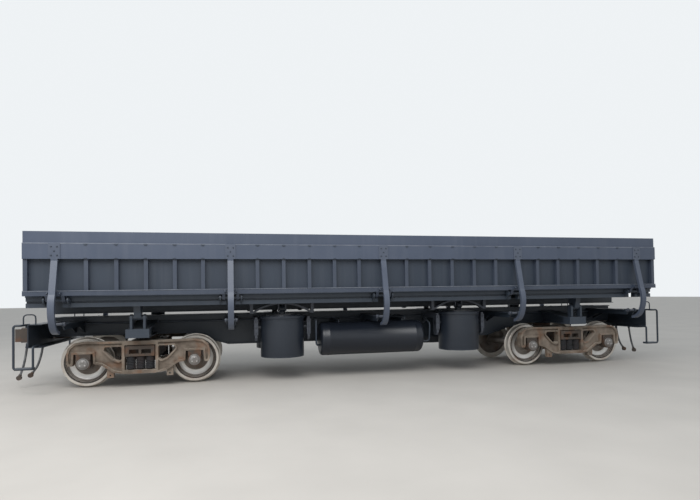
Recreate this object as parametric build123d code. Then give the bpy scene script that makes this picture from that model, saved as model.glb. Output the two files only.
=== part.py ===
from build123d import *
import math
import os

# Side dump wagon on two three-piece trucks, in millimetres.
# X runs along the wagon, -Y is the side that it tips to here, Z = 0 is the flange tips.
os.makedirs("parts", exist_ok=True)

# Wheels and track
TREAD_R = 420
FLANGE_HEIGHT = 28
BACK_TO_BACK = 1353
RIM_WIDTH = 135
RIM_THICK = 62
FLANGE_WIDTH = 32
WEB_THICK = 26
WHEEL_HUB_R = 135
AXLE_R = 90
JOURNAL_R = 65
JOURNAL_CENTRES = 1956
BEARING_LENGTH = 180
BEARING_R = 116
END_CAP_R = 84
END_CAP_THICK = 38
RUNNING_GAP = 0.4
RAIL = FLANGE_HEIGHT
AXLE_Z = TREAD_R + FLANGE_HEIGHT
WHEELBASE = 1830
TRUCK_CENTRES = 8600

# Load box
BOX_LENGTH = 11886
BOX_TOP = RAIL + 2628
LEDGE_Z = RAIL + 2434
BELT_BOTTOM = RAIL + 2183
RIB_BOTTOM = RAIL + 1674
FLANGE_BOTTOM = RAIL + 1590
GATE_INNER_Y = 1505
GATE_SKIN = 12
GATE_RIB_DEPTH = 70
GATE_RAIL_DEPTH = 100
RIB_WIDTH = 64
RIBS_PER_BAY = 5
ARM_END_REACH = 463
ARM_PITCH = (BOX_LENGTH - 2 * ARM_END_REACH) / 4
RIB_PITCH = ARM_PITCH / (RIBS_PER_BAY + 1)
DECK_TOP = RAIL + 1580
DECK_THICK = 16
DECK_HALF = 1495
SIDE_SILL_BOTTOM = RAIL + 1400
SIDE_SILL_DEPTH = 110
SIDE_SILL_INSET = 25
FLANGE_PLATE = 12
LONG_BEAM_Y = 330
LONG_BEAM_BOTTOM = RAIL + 1262
LONG_BEAM_WIDTH = 110
CROSS_BEAM_BOTTOM = RAIL + 1412
CROSS_BEAM_WIDTH = 90
END_WALL_THICK = 12
END_POST_DEPTH = 80
END_POST_WIDTH = 90

# Gate hinge, gate arms and the rollers that guide them
HINGE_Y = 1520
HINGE_Z = RAIL + 1520
HINGE_PIN_R = 25
HINGE_LUG_R = 40
HINGE_EAR_R = 62
KNUCKLE_X = 118
KNUCKLE_WIDTH = 50
LUG_X = 178
LUG_THICK = 25
ARM_WIDTH = 98
ARM_THICK = 52
ARM_PAD = 10
ARM_PAD_SIDE = 86
ARM_TOP_Y = GATE_INNER_Y + GATE_SKIN + GATE_RAIL_DEPTH - ARM_THICK / 2
ARM_TOP_Z = BELT_BOTTOM
ARM_SHOULDER = (ARM_TOP_Y + 140, RAIL + 1600)
ARM_BULGE = (ARM_TOP_Y + 190, RAIL + 1375)
ARM_HEEL = (ARM_TOP_Y + 129, RAIL + 1135)
ARM_UNDER = (ARM_TOP_Y - 17, RAIL + 1003)
ARM_TIP = (ARM_TOP_Y - 85, RAIL + 991)
ROLLER_Y = 1440
ROLLER_Z = RAIL + 1126
ROLLER_R = 24
ROLLER_PIN_R = 18
BOSS_R = 34
BOSS_THICK = 24
CHEEK_X = 64
CHEEK_THICK = 18
CHEEK_R = 42
SILL_SLOT = 76

# Underframe
SILL_HALF = 190
SILL_TOP = RAIL + 1200
SILL_END_BOTTOM = RAIL + 842
SILL_BELLY = RAIL + 600
SILL_WEB = 14
SILL_FLANGE = 20
SILL_LIP = 40
BELLY_FLAT = 2800
BELLY_RAMP = 3600
FRAME_END_X = 5965
END_SILL_DEPTH = 200
END_SILL_HALF = 1300
END_SILL_BOTTOM = RAIL + 742
END_SILL_TOP = RAIL + 1130
END_PLATE = 14
BEARER_COVER_Y = 1010
BEARER_HAUNCH = 360
BEARER_ROOT_BOTTOM = RAIL + 905
BEARER_TIP_BOTTOM = RAIL + 1035
BEARER_TOP = RAIL + 1140
BOLSTER_WIDTH = 382
BOLSTER_HALF = 1300
BOLSTER_BOTTOM = RAIL + 854
BOLSTER_TOP = RAIL + 1005
CENTRE_PLATE_R = 150
CENTRE_PLATE_Z = RAIL + 805

# Tipping pivots on the truck bearers
PIVOT_Y = 1200
PIVOT_Z = RAIL + 1200
PIVOT_PIN_R = 40
PIVOT_BAR_X = 107
PIVOT_BAR_THICK = 40
PIVOT_BAR_HALF = 60
SADDLE_THICK = 110
SADDLE_HALF = 85
SADDLE_GAP = 1

# Tipping cylinders
CYL_X = 1800
CYL_Y = 880
CYL_R = 405
CYL_WALL = 14
CYL_BOTTOM = RAIL + 404
CYL_TOP = RAIL + 1160
LID_THICK = 34
LID_R = 425
STAGE_1_R = 330
STAGE_2_R = 235
STAGE_WALL = 12
ROD_R = 62
STAGE_STEP = 16
STAGE_FOOT = 60
TRUNNION_Z = RAIL + 950
TRUNNION_R = 45
HANGER_X = 490
HANGER_THICK = 44
HANGER_HALF = 95
HANGER_BOTTOM = RAIL + 700
EYE_Z = RAIL + 1287
EYE_HOLE_R = 50
EYE_R = 78
EYE_WIDTH = 90
EYE_PIN_R = 20
YOKE_HALF = 600
YOKE_THICK = 34
YOKE_WIDTH = 110
YOKE_FOOT_Z = RAIL + 1205
YOKE_LUG_GAP = 10
YOKE_LUG_THICK = 24

# Air reservoir on the near side
TANK_X = -90
TANK_HALF = 1010
TANK_R = 315
TANK_Y = 940
TANK_Z = RAIL + 705
TANK_DISH = 60
TANK_BRACKET_X = 640
BRACKET_THICK = 24
BRACKET_RISE = 50

# Truck castings
FRAME_THICK = 150
FRAME_WEB = 60
FRAME_RIM = 34
COLUMN_X = 300
COLUMN_WIDTH = 46
PEDESTAL_HALF = 152
PEDESTAL_ROOF = RAIL + 585
FRAME_BOTTOM = RAIL + 218
ADAPTER_HALF = 112
ADAPTER_DEPTH = 65
BRAKE_BEAM_X = (330, 380)
BRAKE_BEAM_Z = (RAIL + 350, RAIL + 390)
SHOE_DEPTH = 106
SHOE_Z = (RAIL + 300, RAIL + 500)
SHOE_HALF = 42
SHOE_GAP = 12
SPRING_R = 68
SPRING_PITCH_X = 150
SPRING_BASE = RAIL + 281
SPRING_TOP = RAIL + 520
SPRING_TURNS = 5
BOLSTER_END_TOP = RAIL + 700
BOLSTER_END_HALF = 240
SPRING_SEAT_HALF = 90
BOLSTER_BELLY_Y = 420
BOLSTER_BELLY_Z = RAIL + 430
BOLSTER_CROWN_Y = 450
BOLSTER_CROWN_Z = RAIL + 760
BOLSTER_POCKET_X = 100
BOLSTER_POCKET_HALF = 80
BOLSTER_POCKET_DEEP = 120
BOLSTER_WALL = 40
BOWL_GAP = 3
BOWL_LIP = 20

# Couplers and ends
COUPLER_Z = RAIL + 880
COUPLER_FACE_X = 6600
SHANK_HALF = 65
SHANK_HIGH = 75
SEAT = 0.3
POCKET_LENGTH = 420
SHANK_IN = 260
SHANK_LAP = 20
HEAD_HIGH = 260
KNUCKLE_HIGH = 230
HEAD_OUTLINE = [  # x from the coupling face, y
    (-330, -70), (-210, -180), (-60, -200), (-20, -150), (-130, -60), (-150, 30),
    (-120, 90), (-120, 170), (-220, 170), (-330, 70)]
KNUCKLE_OUTLINE = [
    (-120, 92), (-120, 168), (-30, 160), (0, 110), (0, 20), (-45, 0), (-60, 70)]
STEP_X = (5850, 6130)
STEP_LEG_BEND = 40
STEP_TREAD_DEEP = 110
STEP_RAIL_TOP = RAIL + 1120
STEP_RAIL_OUT = 40
STEP_RAIL_IN = 100
STEP_REACH = 140
STEP_Y = END_SILL_HALF + STEP_REACH
STEP_Z = RAIL + 420
RAIL_TUBE_R = 18
TREAD_THICK = 36
HOSE_R = 20
ARC_SHARE = 0.45
STUB_R = 27
NOZZLE_R = 25
NOZZLE_LENGTH = 70
COCK_R = 19
COCK_OUT = 57
COCK_X = 30
HAND_R = 42
HAND_THICK = 44


def block(x, y, z):
    """Plate or bar that fills three spans, each given as (low, high)."""
    middle = Pos((x[0] + x[1]) / 2, (y[0] + y[1]) / 2, (z[0] + z[1]) / 2)
    return middle * Box(x[1] - x[0], y[1] - y[0], z[1] - z[0])


def prism_x(outline, x0, x1):
    """Closed (y, z) outline carried along X."""
    face = Plane.YZ.offset(x0) * make_face(Polyline(*outline, close=True))
    return extrude(face, x1 - x0, dir=(1, 0, 0))


def prism_y(outline, y0, y1):
    """Closed (x, z) outline carried along Y."""
    face = make_face(Polyline(*[(x, y0, z) for x, z in outline], close=True))
    return extrude(face, y1 - y0, dir=(0, 1, 0))


def round_x(y, z, radius, x0, x1):
    """Round bar along X."""
    return Pos((x0 + x1) / 2, y, z) * Rot(0, 90, 0) * Cylinder(radius, x1 - x0)


def round_y(x, z, radius, y0, y1):
    """Round bar along Y."""
    return Pos(x, (y0 + y1) / 2, z) * Rot(90, 0, 0) * Cylinder(radius, y1 - y0)


def round_z(x, y, radius, z0, z1):
    """Round bar along Z."""
    return Pos(x, y, (z0 + z1) / 2) * Cylinder(radius, z1 - z0)


def tube(points, radius, bend):
    """Round bar bent along straight runs joined by arcs."""
    path = FilletPolyline(*points, radius=bend)
    start = Plane(origin=path @ 0, z_dir=path % 0)
    return sweep(start * Circle(radius), path=path)


def far(shape):
    """The same shape on the far side."""
    return mirror(shape, about=Plane.XZ)


def other_end(shape):
    """The same shape at the other end."""
    return mirror(shape, about=Plane.YZ)


def save(name, shapes):
    """Write one node; touching members are fused by the caller."""
    solids = []
    for shape in shapes:
        solids.extend(shape.solids())
    export_step(Compound(solids), f"parts/{name}.step")


ARM_XS = [ARM_PITCH * k for k in range(-2, 3)]
TRUCKS = {"a": -TRUCK_CENTRES / 2, "b": TRUCK_CENTRES / 2}

# Underframe: fish-bellied centre sill
belly = [
    (-FRAME_END_X, SILL_END_BOTTOM), (-BELLY_RAMP, SILL_END_BOTTOM),
    (-BELLY_FLAT, SILL_BELLY), (BELLY_FLAT, SILL_BELLY),
    (BELLY_RAMP, SILL_END_BOTTOM), (FRAME_END_X, SILL_END_BOTTOM),
]
outer = belly + [(FRAME_END_X, SILL_TOP), (-FRAME_END_X, SILL_TOP)]
raised = [(x, z + SILL_FLANGE) for x, z in belly]
hollow = raised + [(FRAME_END_X, SILL_TOP - SILL_FLANGE), (-FRAME_END_X, SILL_TOP - SILL_FLANGE)]
flange_half = SILL_HALF + SILL_LIP
centre_sill = prism_y(outer, -flange_half, flange_half)
centre_sill -= prism_y(hollow, -SILL_HALF + SILL_WEB, SILL_HALF - SILL_WEB)
for side in (-1, 1):
    lip = sorted((side * SILL_HALF, side * (flange_half + 1)))
    centre_sill -= prism_y(hollow, lip[0], lip[1])
pocket = block((FRAME_END_X - POCKET_LENGTH, FRAME_END_X + 1), (-SHANK_HALF - 30, SHANK_HALF + 30),
               (SILL_END_BOTTOM - 1, SILL_END_BOTTOM + SILL_FLANGE + 1))
centre_sill -= pocket + other_end(pocket)
save("centre_sill", [centre_sill])

# Twin-web bearers: the webs run out to the arm rollers, and the arms swing between them
web_plate = prism_x(
    [(SILL_HALF, BEARER_ROOT_BOTTOM), (SILL_HALF + BEARER_HAUNCH, BEARER_TIP_BOTTOM),
     (ROLLER_Y - CHEEK_R, BEARER_TIP_BOTTOM), (ROLLER_Y, ROLLER_Z - CHEEK_R),
     (ROLLER_Y, ROLLER_Z + CHEEK_R), (ROLLER_Y - CHEEK_R, BEARER_TOP), (SILL_HALF, BEARER_TOP)],
    CHEEK_X, CHEEK_X + CHEEK_THICK)
web_plate += round_x(ROLLER_Y, ROLLER_Z, CHEEK_R, CHEEK_X, CHEEK_X + CHEEK_THICK)
web_plate -= round_x(ROLLER_Y, ROLLER_Z, ROLLER_PIN_R, CHEEK_X - 1, CHEEK_X + CHEEK_THICK + 1)
lips = (CHEEK_X + CHEEK_THICK, CHEEK_X + CHEEK_THICK + SILL_LIP)
web_plate += block(lips, (SILL_HALF, ROLLER_Y - 2 * CHEEK_R), (BEARER_TOP - CHEEK_THICK, BEARER_TOP))
cover = block((-CHEEK_X, CHEEK_X), (SILL_HALF, BEARER_COVER_Y), (BEARER_TOP - CHEEK_THICK, BEARER_TOP))
bearer = [web_plate, other_end(web_plate), cover]
cap = CHEEK_X + CHEEK_THICK
roller = round_x(ROLLER_Y, ROLLER_Z, ROLLER_R, -CHEEK_X + 4, CHEEK_X - 4)
roller += round_x(ROLLER_Y, ROLLER_Z, ROLLER_PIN_R, -cap, cap)
boss = round_x(ROLLER_Y, ROLLER_Z, BOSS_R, cap, cap + BOSS_THICK)
shaft = [roller, boss, other_end(boss)]
bearers, rollers = [], []
for x in ARM_XS:
    for shapes, made in ((bearer, bearers), (shaft, rollers)):
        placed = [Pos(x, 0, 0) * shape for shape in shapes]
        made += placed + [far(shape) for shape in placed]
save("cross_bearers", bearers)
save("arm_rollers", rollers)

# End sills: channels across each end, cut for the coupler shank
inner_x = FRAME_END_X - END_SILL_DEPTH
end_sill = block((inner_x, FRAME_END_X + END_PLATE), (-END_SILL_HALF, END_SILL_HALF),
                 (END_SILL_BOTTOM, END_SILL_TOP))
end_sill -= block((inner_x - 1, FRAME_END_X), (-END_SILL_HALF - 1, END_SILL_HALF + 1),
                  (END_SILL_BOTTOM + END_PLATE, END_SILL_TOP - END_PLATE))
end_sill -= block((inner_x - 1, FRAME_END_X), (-flange_half, flange_half),
                  (SILL_END_BOTTOM, SILL_TOP))
end_sill -= block((FRAME_END_X - 1, FRAME_END_X + END_PLATE + 1),
                  (-SHANK_HALF - 30, SHANK_HALF + 30), (COUPLER_Z - SHANK_HIGH - SEAT, COUPLER_Z + 100))
save("end_sills", [end_sill, other_end(end_sill)])

# Truck bearers: box beams across the centre sill over each truck
bearer_half = BOLSTER_WIDTH / 2
wing = prism_x([(SILL_HALF, BOLSTER_BOTTOM), (BOLSTER_HALF, BOLSTER_BOTTOM),
                (BOLSTER_HALF, BOLSTER_TOP), (PIVOT_Y - PIVOT_BAR_HALF - 20, BOLSTER_TOP),
                (SILL_HALF, BOLSTER_TOP + 110)],
               -bearer_half, bearer_half)
for side in (-1, 1):
    pocket = sorted((side * (bearer_half - 90), side * (bearer_half + 1)))
    wing -= prism_x(
        [(SILL_HALF - 1, BOLSTER_BOTTOM + 16), (BOLSTER_HALF - 220, BOLSTER_BOTTOM + 16),
         (BOLSTER_HALF - 220, BOLSTER_TOP - 16), (SILL_HALF - 1, BOLSTER_TOP + 90)],
        pocket[0], pocket[1])
wing -= block((-bearer_half - 1, bearer_half + 1), (0, flange_half),
              (BOLSTER_BOTTOM - 1, SILL_END_BOTTOM + SILL_FLANGE))
plate = round_z(0, 0, CENTRE_PLATE_R, CENTRE_PLATE_Z, SILL_END_BOTTOM)
wings, plates = [], []
for x in TRUCKS.values():
    wings += [Pos(x, 0, 0) * wing, Pos(x, 0, 0) * far(wing)]
    plates.append(Pos(x, 0, 0) * plate)
save("truck_bearers", wings)
save("centre_plates", plates)

# Tipping pivots: two bars and a pin over each bearer end
bar = block((PIVOT_BAR_X - PIVOT_BAR_THICK / 2, PIVOT_BAR_X + PIVOT_BAR_THICK / 2),
            (PIVOT_Y - PIVOT_BAR_HALF, PIVOT_Y + PIVOT_BAR_HALF), (BOLSTER_TOP, PIVOT_Z))
bar += round_x(PIVOT_Y, PIVOT_Z, PIVOT_BAR_HALF, PIVOT_BAR_X - PIVOT_BAR_THICK / 2,
               PIVOT_BAR_X + PIVOT_BAR_THICK / 2)
stand = bar + other_end(bar)
stand += round_x(PIVOT_Y, PIVOT_Z, PIVOT_PIN_R, -PIVOT_BAR_X - 30, PIVOT_BAR_X + 30)
stands = []
for x in TRUCKS.values():
    one = Pos(x, 0, 0) * stand
    stands += [one, far(one)]
save("pivot_stands", stands)

# Saddles under the load box, open below, that sit over the pivot pins
saddle = prism_x(
    [(PIVOT_Y - SADDLE_HALF, PIVOT_Z), (PIVOT_Y + SADDLE_HALF, PIVOT_Z),
     (PIVOT_Y + SADDLE_HALF + 50, CROSS_BEAM_BOTTOM), (PIVOT_Y - SADDLE_HALF - 50, CROSS_BEAM_BOTTOM)],
    -SADDLE_THICK / 2, SADDLE_THICK / 2)
saddle -= round_x(PIVOT_Y, PIVOT_Z, PIVOT_PIN_R + SADDLE_GAP, -SADDLE_THICK, SADDLE_THICK)
saddles = []
for x in TRUCKS.values():
    one = Pos(x, 0, 0) * saddle
    saddles += [one, far(one)]
save("pivot_saddles", saddles)

# Load box floor: deck, side sills, long beams and cross beams
half_box = BOX_LENGTH / 2
deck_under = DECK_TOP - DECK_THICK
end_in = half_box - END_POST_DEPTH - END_WALL_THICK
save("floor_deck", [block((-end_in, end_in), (-DECK_HALF, DECK_HALF), (deck_under, DECK_TOP))])

sill_out = DECK_HALF - SIDE_SILL_INSET
sill_in = sill_out - SIDE_SILL_DEPTH
side_mid = (SIDE_SILL_BOTTOM + deck_under) / 2
sill_profile = [
    (sill_in, SIDE_SILL_BOTTOM), (sill_out, SIDE_SILL_BOTTOM), (sill_out, side_mid - 12),
    (sill_out - 40, side_mid - 4), (sill_out - 40, side_mid + 22), (sill_out, side_mid + 22),
    (sill_out, deck_under), (sill_in, deck_under)]
sill_breaks = [-half_box] + [x + side * SILL_SLOT for x in ARM_XS for side in (-1, 1)] + [half_box]
side_sills = []
for k in range(0, len(sill_breaks), 2):
    run = prism_x(sill_profile, sill_breaks[k], sill_breaks[k + 1])
    side_sills += [run, far(run)]
save("floor_side_sills", side_sills)

beam_lo = LONG_BEAM_Y - LONG_BEAM_WIDTH / 2
beam_hi = LONG_BEAM_Y + LONG_BEAM_WIDTH / 2
web = SILL_WEB / 2
long_beam = prism_x(
    [(beam_lo, LONG_BEAM_BOTTOM), (beam_hi, LONG_BEAM_BOTTOM),
     (beam_hi, LONG_BEAM_BOTTOM + FLANGE_PLATE), (LONG_BEAM_Y + web, LONG_BEAM_BOTTOM + FLANGE_PLATE),
     (LONG_BEAM_Y + web, deck_under - FLANGE_PLATE), (beam_hi, deck_under - FLANGE_PLATE),
     (beam_hi, deck_under), (beam_lo, deck_under), (beam_lo, deck_under - FLANGE_PLATE),
     (LONG_BEAM_Y - web, deck_under - FLANGE_PLATE), (LONG_BEAM_Y - web, LONG_BEAM_BOTTOM + FLANGE_PLATE),
     (beam_lo, LONG_BEAM_BOTTOM + FLANGE_PLATE)], -half_box, half_box)
save("floor_long_beams", [long_beam, far(long_beam)])

bay_centres = [x + ARM_PITCH / 2 for x in ARM_XS[:-1]]
cross_xs = [x + RIB_PITCH * k for x in bay_centres for k in (-2, -1, 1, 2)] + list(TRUCKS.values())
cross_beams = []
for x in sorted(cross_xs):
    span = (x - CROSS_BEAM_WIDTH / 2, x + CROSS_BEAM_WIDTH / 2)
    piece = block(span, (beam_hi, sill_in), (CROSS_BEAM_BOTTOM, deck_under))
    piece -= block((span[0] - 1, x - web), (beam_hi - 1, sill_in + 1),
                   (CROSS_BEAM_BOTTOM + FLANGE_PLATE, deck_under - FLANGE_PLATE))
    piece -= block((x + web, span[1] + 1), (beam_hi - 1, sill_in + 1),
                   (CROSS_BEAM_BOTTOM + FLANGE_PLATE, deck_under - FLANGE_PLATE))
    cross_beams += [piece, far(piece)]
save("floor_cross_beams", cross_beams)

# End walls: plate with rails and posts, standing on the floor beams beyond the deck
wall_half = GATE_INNER_Y - 10
end_wall = block((end_in, end_in + END_WALL_THICK), (-wall_half, wall_half), (deck_under, BOX_TOP))
end_wall += block((end_in, half_box), (-wall_half, wall_half), (BOX_TOP - END_POST_WIDTH, BOX_TOP))
end_wall += block((end_in, half_box), (-wall_half, wall_half), (deck_under, DECK_TOP + END_POST_DEPTH))
for k in range(-3, 4):
    y = k * (wall_half - END_POST_WIDTH / 2) / 3
    end_wall += block((end_in, half_box), (y - END_POST_WIDTH / 2, y + END_POST_WIDTH / 2),
                      (deck_under, BOX_TOP))
save("end_walls", [end_wall, other_end(end_wall)])

# Side gates: skin, top rail with belt, ribs with the lower flange and hinge knuckles, arms
skin_out = GATE_INNER_Y + GATE_SKIN
rib_out = skin_out + GATE_RIB_DEPTH
rail_out = skin_out + GATE_RAIL_DEPTH
gate_skin = block((-half_box, half_box), (GATE_INNER_Y, skin_out), (FLANGE_BOTTOM, BOX_TOP))
gate_rail = prism_x(
    [(skin_out, BELT_BOTTOM), (rail_out, BELT_BOTTOM), (rail_out, LEDGE_Z),
     (rib_out, LEDGE_Z + 14), (rib_out, BOX_TOP), (skin_out, BOX_TOP)], -half_box, half_box)
gate_ribs = prism_x(
    [(skin_out, FLANGE_BOTTOM), (rail_out, FLANGE_BOTTOM), (rail_out, RIB_BOTTOM - 20),
     (rib_out, RIB_BOTTOM), (skin_out, RIB_BOTTOM)], -half_box, half_box)
rib_xs = []
for centre in bay_centres:
    rib_xs += [centre + RIB_PITCH * (k - (RIBS_PER_BAY - 1) / 2) for k in range(RIBS_PER_BAY)]
post_half = half_box - RIB_WIDTH / 2
for x in rib_xs + [-post_half, post_half]:
    gate_ribs += prism_x(
        [(skin_out, RIB_BOTTOM), (rib_out, RIB_BOTTOM), (rib_out, BELT_BOTTOM),
         (skin_out, BELT_BOTTOM)], x - RIB_WIDTH / 2, x + RIB_WIDTH / 2)
knuckle_profile = [
    (HINGE_Y - HINGE_LUG_R * 0.7, HINGE_Z - HINGE_LUG_R * 0.7), (HINGE_Y, HINGE_Z - HINGE_LUG_R),
    (HINGE_Y + HINGE_LUG_R, HINGE_Z - HINGE_LUG_R * 0.5), (rail_out, FLANGE_BOTTOM),
    (GATE_INNER_Y, FLANGE_BOTTOM), (HINGE_Y - HINGE_LUG_R, HINGE_Z)]
for x in ARM_XS:
    for side in (-1, 1):
        at = x + side * KNUCKLE_X
        lug = prism_x(knuckle_profile, at - KNUCKLE_WIDTH / 2, at + KNUCKLE_WIDTH / 2)
        lug -= round_x(HINGE_Y, HINGE_Z, HINGE_PIN_R + RUNNING_GAP, at - 50, at + 50)
        gate_ribs += lug
arm_spine = [(ARM_TOP_Y, ARM_TOP_Z), ARM_SHOULDER, ARM_BULGE, ARM_HEEL, ARM_UNDER, ARM_TIP]
top_line = Line(*[(0, y, z) for y, z in arm_spine[:2]])
bulge = ThreePointArc(*[(0, y, z) for y, z in arm_spine[1:4]])
hook = ThreePointArc(*[(0, y, z) for y, z in arm_spine[3:6]])
spine = Wire([top_line, bulge, hook])
arm_face = Plane(origin=spine @ 0, z_dir=spine % 0, x_dir=(1, 0, 0)) * Rectangle(ARM_WIDTH, ARM_THICK)
arm = sweep(arm_face, path=spine, transition=Transition.RIGHT)
pad = block((-ARM_PAD_SIDE, ARM_PAD_SIDE), (rail_out, rail_out + ARM_PAD),
            (BELT_BOTTOM, LEDGE_Z))
tongue = prism_x([(rail_out, ARM_TOP_Z - ARM_PAD_SIDE), (rail_out + ARM_PAD, ARM_TOP_Z - ARM_PAD),
                  (rail_out + ARM_PAD, ARM_TOP_Z), (rail_out, ARM_TOP_Z)], -ARM_WIDTH / 2, ARM_WIDTH / 2)
arm -= block((-ARM_WIDTH, ARM_WIDTH), (0, rail_out), (ARM_TOP_Z, BOX_TOP))
arm = arm + tongue + pad
arms = [Pos(x, 0, 0) * arm for x in ARM_XS]
for name, place in (("far", lambda s: s), ("near", far)):
    save(f"{name}_gate_skin", [place(gate_skin)])
    save(f"{name}_gate_rail", [place(gate_rail)])
    save(f"{name}_gate_ribs", [place(gate_ribs)])
    save(f"{name}_gate_arms", [place(a) for a in arms])

# Hinge lugs on the floor side sills, with the pins that the gates turn on
lug = prism_x(
    [(sill_out, SIDE_SILL_BOTTOM), (HINGE_Y, HINGE_Z - HINGE_EAR_R), (HINGE_Y, HINGE_Z + HINGE_LUG_R),
     (sill_out, HINGE_Z + HINGE_LUG_R)], LUG_X - LUG_THICK / 2, LUG_X + LUG_THICK / 2)
lug += round_x(HINGE_Y, HINGE_Z, HINGE_EAR_R, LUG_X - LUG_THICK / 2, LUG_X + LUG_THICK / 2)
lug -= block((0, 2 * LUG_X), (0, sill_out), (SIDE_SILL_BOTTOM - 1, HINGE_Z + 2 * HINGE_EAR_R))
lug -= block((0, 2 * LUG_X), (0, DECK_HALF), (deck_under, HINGE_Z + 2 * HINGE_EAR_R))
hinge = lug + other_end(lug)
hinge += round_x(HINGE_Y, HINGE_Z, HINGE_PIN_R, -LUG_X - 25, LUG_X + 25)
hinges = []
for x in ARM_XS:
    one = Pos(x, 0, 0) * hinge
    hinges += [one, far(one)]
save("gate_hinges", hinges)

# Tipping cylinders: open tube with a flanged lid, trunnions at both sides, nested stages
def cylinder(x, y):
    """Outer tube with its base, lid, collar and trunnions."""
    can = round_z(x, y, CYL_R, CYL_BOTTOM, CYL_TOP)
    can += round_z(x, y, LID_R, CYL_TOP - LID_THICK, CYL_TOP)
    can -= round_z(x, y, CYL_R - CYL_WALL, CYL_BOTTOM + CYL_WALL, CYL_TOP - LID_THICK)
    can -= round_z(x, y, STAGE_1_R + RUNNING_GAP, CYL_TOP - LID_THICK - 1, CYL_TOP + 1)
    reach = HANGER_X + HANGER_THICK / 2
    for side in (-1, 1):
        pin = sorted((x + side * (CYL_R - 6), x + side * reach))
        stub = round_x(y, TRUNNION_Z, TRUNNION_R, pin[0], pin[1])
        can += stub - round_z(x, y, CYL_R - 8, CYL_BOTTOM, CYL_TOP)
    return can


def stage(x, y, radius, inner, top):
    """Nested tube with a ring head that guides the next stage."""
    foot = CYL_BOTTOM + STAGE_FOOT
    body = round_z(x, y, radius, foot, top)
    body -= round_z(x, y, radius - STAGE_WALL, foot - 1, top - LID_THICK)
    return body - round_z(x, y, inner + RUNNING_GAP, top - LID_THICK - 1, top + 1)


def rod(x, y):
    """Rod with a round eye head."""
    body = round_z(x, y, ROD_R, CYL_BOTTOM + STAGE_FOOT, EYE_Z)
    body += round_x(y, EYE_Z, EYE_R, x - EYE_WIDTH / 2, x + EYE_WIDTH / 2)
    return body - round_x(y, EYE_Z, EYE_HOLE_R, x - ROD_R - 20, x + ROD_R + 20)


tops = [CYL_TOP + STAGE_STEP, CYL_TOP + 2 * STAGE_STEP]
for name, y in (("near", -CYL_Y), ("far", CYL_Y)):
    sides = (-CYL_X, CYL_X)
    save(f"{name}_cylinders", [cylinder(x, y) for x in sides])
    save(f"{name}_stage_1", [stage(x, y, STAGE_1_R, STAGE_2_R, tops[0]) for x in sides])
    save(f"{name}_stage_2", [stage(x, y, STAGE_2_R, ROD_R, tops[1]) for x in sides])
    save(f"{name}_rods", [rod(x, y) for x in sides])

# Hangers that hold the trunnions, with their beams from the centre sill
hangers, hanger_beams = [], []
for x in (-CYL_X, CYL_X):
    for side in (-1, 1):
        mid = x + side * HANGER_X
        span = (mid - HANGER_THICK / 2, mid + HANGER_THICK / 2)
        plate = prism_x(
            [(CYL_Y - HANGER_HALF, HANGER_BOTTOM + 60), (CYL_Y - 50, HANGER_BOTTOM),
             (CYL_Y + 50, HANGER_BOTTOM), (CYL_Y + HANGER_HALF, HANGER_BOTTOM + 60),
             (CYL_Y + HANGER_HALF, BEARER_TOP), (CYL_Y - HANGER_HALF, BEARER_TOP)], span[0], span[1])
        plate -= round_x(CYL_Y, TRUNNION_Z, TRUNNION_R + RUNNING_GAP, span[0] - 1, span[1] + 1)
        beam = prism_x(
            [(SILL_HALF, BEARER_ROOT_BOTTOM), (SILL_HALF + 200, BEARER_TIP_BOTTOM),
             (CYL_Y - HANGER_HALF, BEARER_TIP_BOTTOM), (CYL_Y - HANGER_HALF, BEARER_TOP),
             (SILL_HALF, BEARER_TOP)], span[0], span[1])
        hangers += [plate, far(plate)]
        hanger_beams += [beam, far(beam)]
save("cylinder_hangers", hangers)
save("hanger_beams", hanger_beams)

# Yokes under the floor: a bow over each cylinder with lugs and a pin for the rod's eye
rise = CROSS_BEAM_BOTTOM - YOKE_FOOT_Z
bow_radius = (YOKE_HALF ** 2 + rise ** 2) / (2 * rise)
bow_centre = CROSS_BEAM_BOTTOM - bow_radius
bow = round_y(0, bow_centre, bow_radius, -YOKE_WIDTH / 2, YOKE_WIDTH / 2)
bow -= round_y(0, bow_centre, bow_radius - YOKE_THICK, -YOKE_WIDTH, YOKE_WIDTH)
bow &= block((-YOKE_HALF, YOKE_HALF), (-YOKE_WIDTH, YOKE_WIDTH), (YOKE_FOOT_Z, CROSS_BEAM_BOTTOM + 1))
crown = CROSS_BEAM_BOTTOM - YOKE_THICK
lug_in = EYE_WIDTH / 2 + YOKE_LUG_GAP
for side in (-1, 1):
    span = sorted((side * lug_in, side * (lug_in + YOKE_LUG_THICK)))
    ear = block(span, (-40, 40), (EYE_Z, crown + 8))
    bow += ear + round_x(0, EYE_Z, 40, span[0], span[1])
bow += round_x(0, EYE_Z, EYE_PIN_R, -lug_in - 1, lug_in + 1)
post = block((-YOKE_HALF, -YOKE_HALF + 60), (-YOKE_WIDTH / 2, YOKE_WIDTH / 2),
             (YOKE_FOOT_Z, deck_under))
post -= round_y(0, bow_centre, bow_radius - 1, -YOKE_WIDTH, YOKE_WIDTH)
bow += post + other_end(post)
yokes = []
for x in (-CYL_X, CYL_X):
    one = Pos(x, CYL_Y, 0) * bow
    yokes += [one, far(one)]
save("rod_yokes", yokes)

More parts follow.
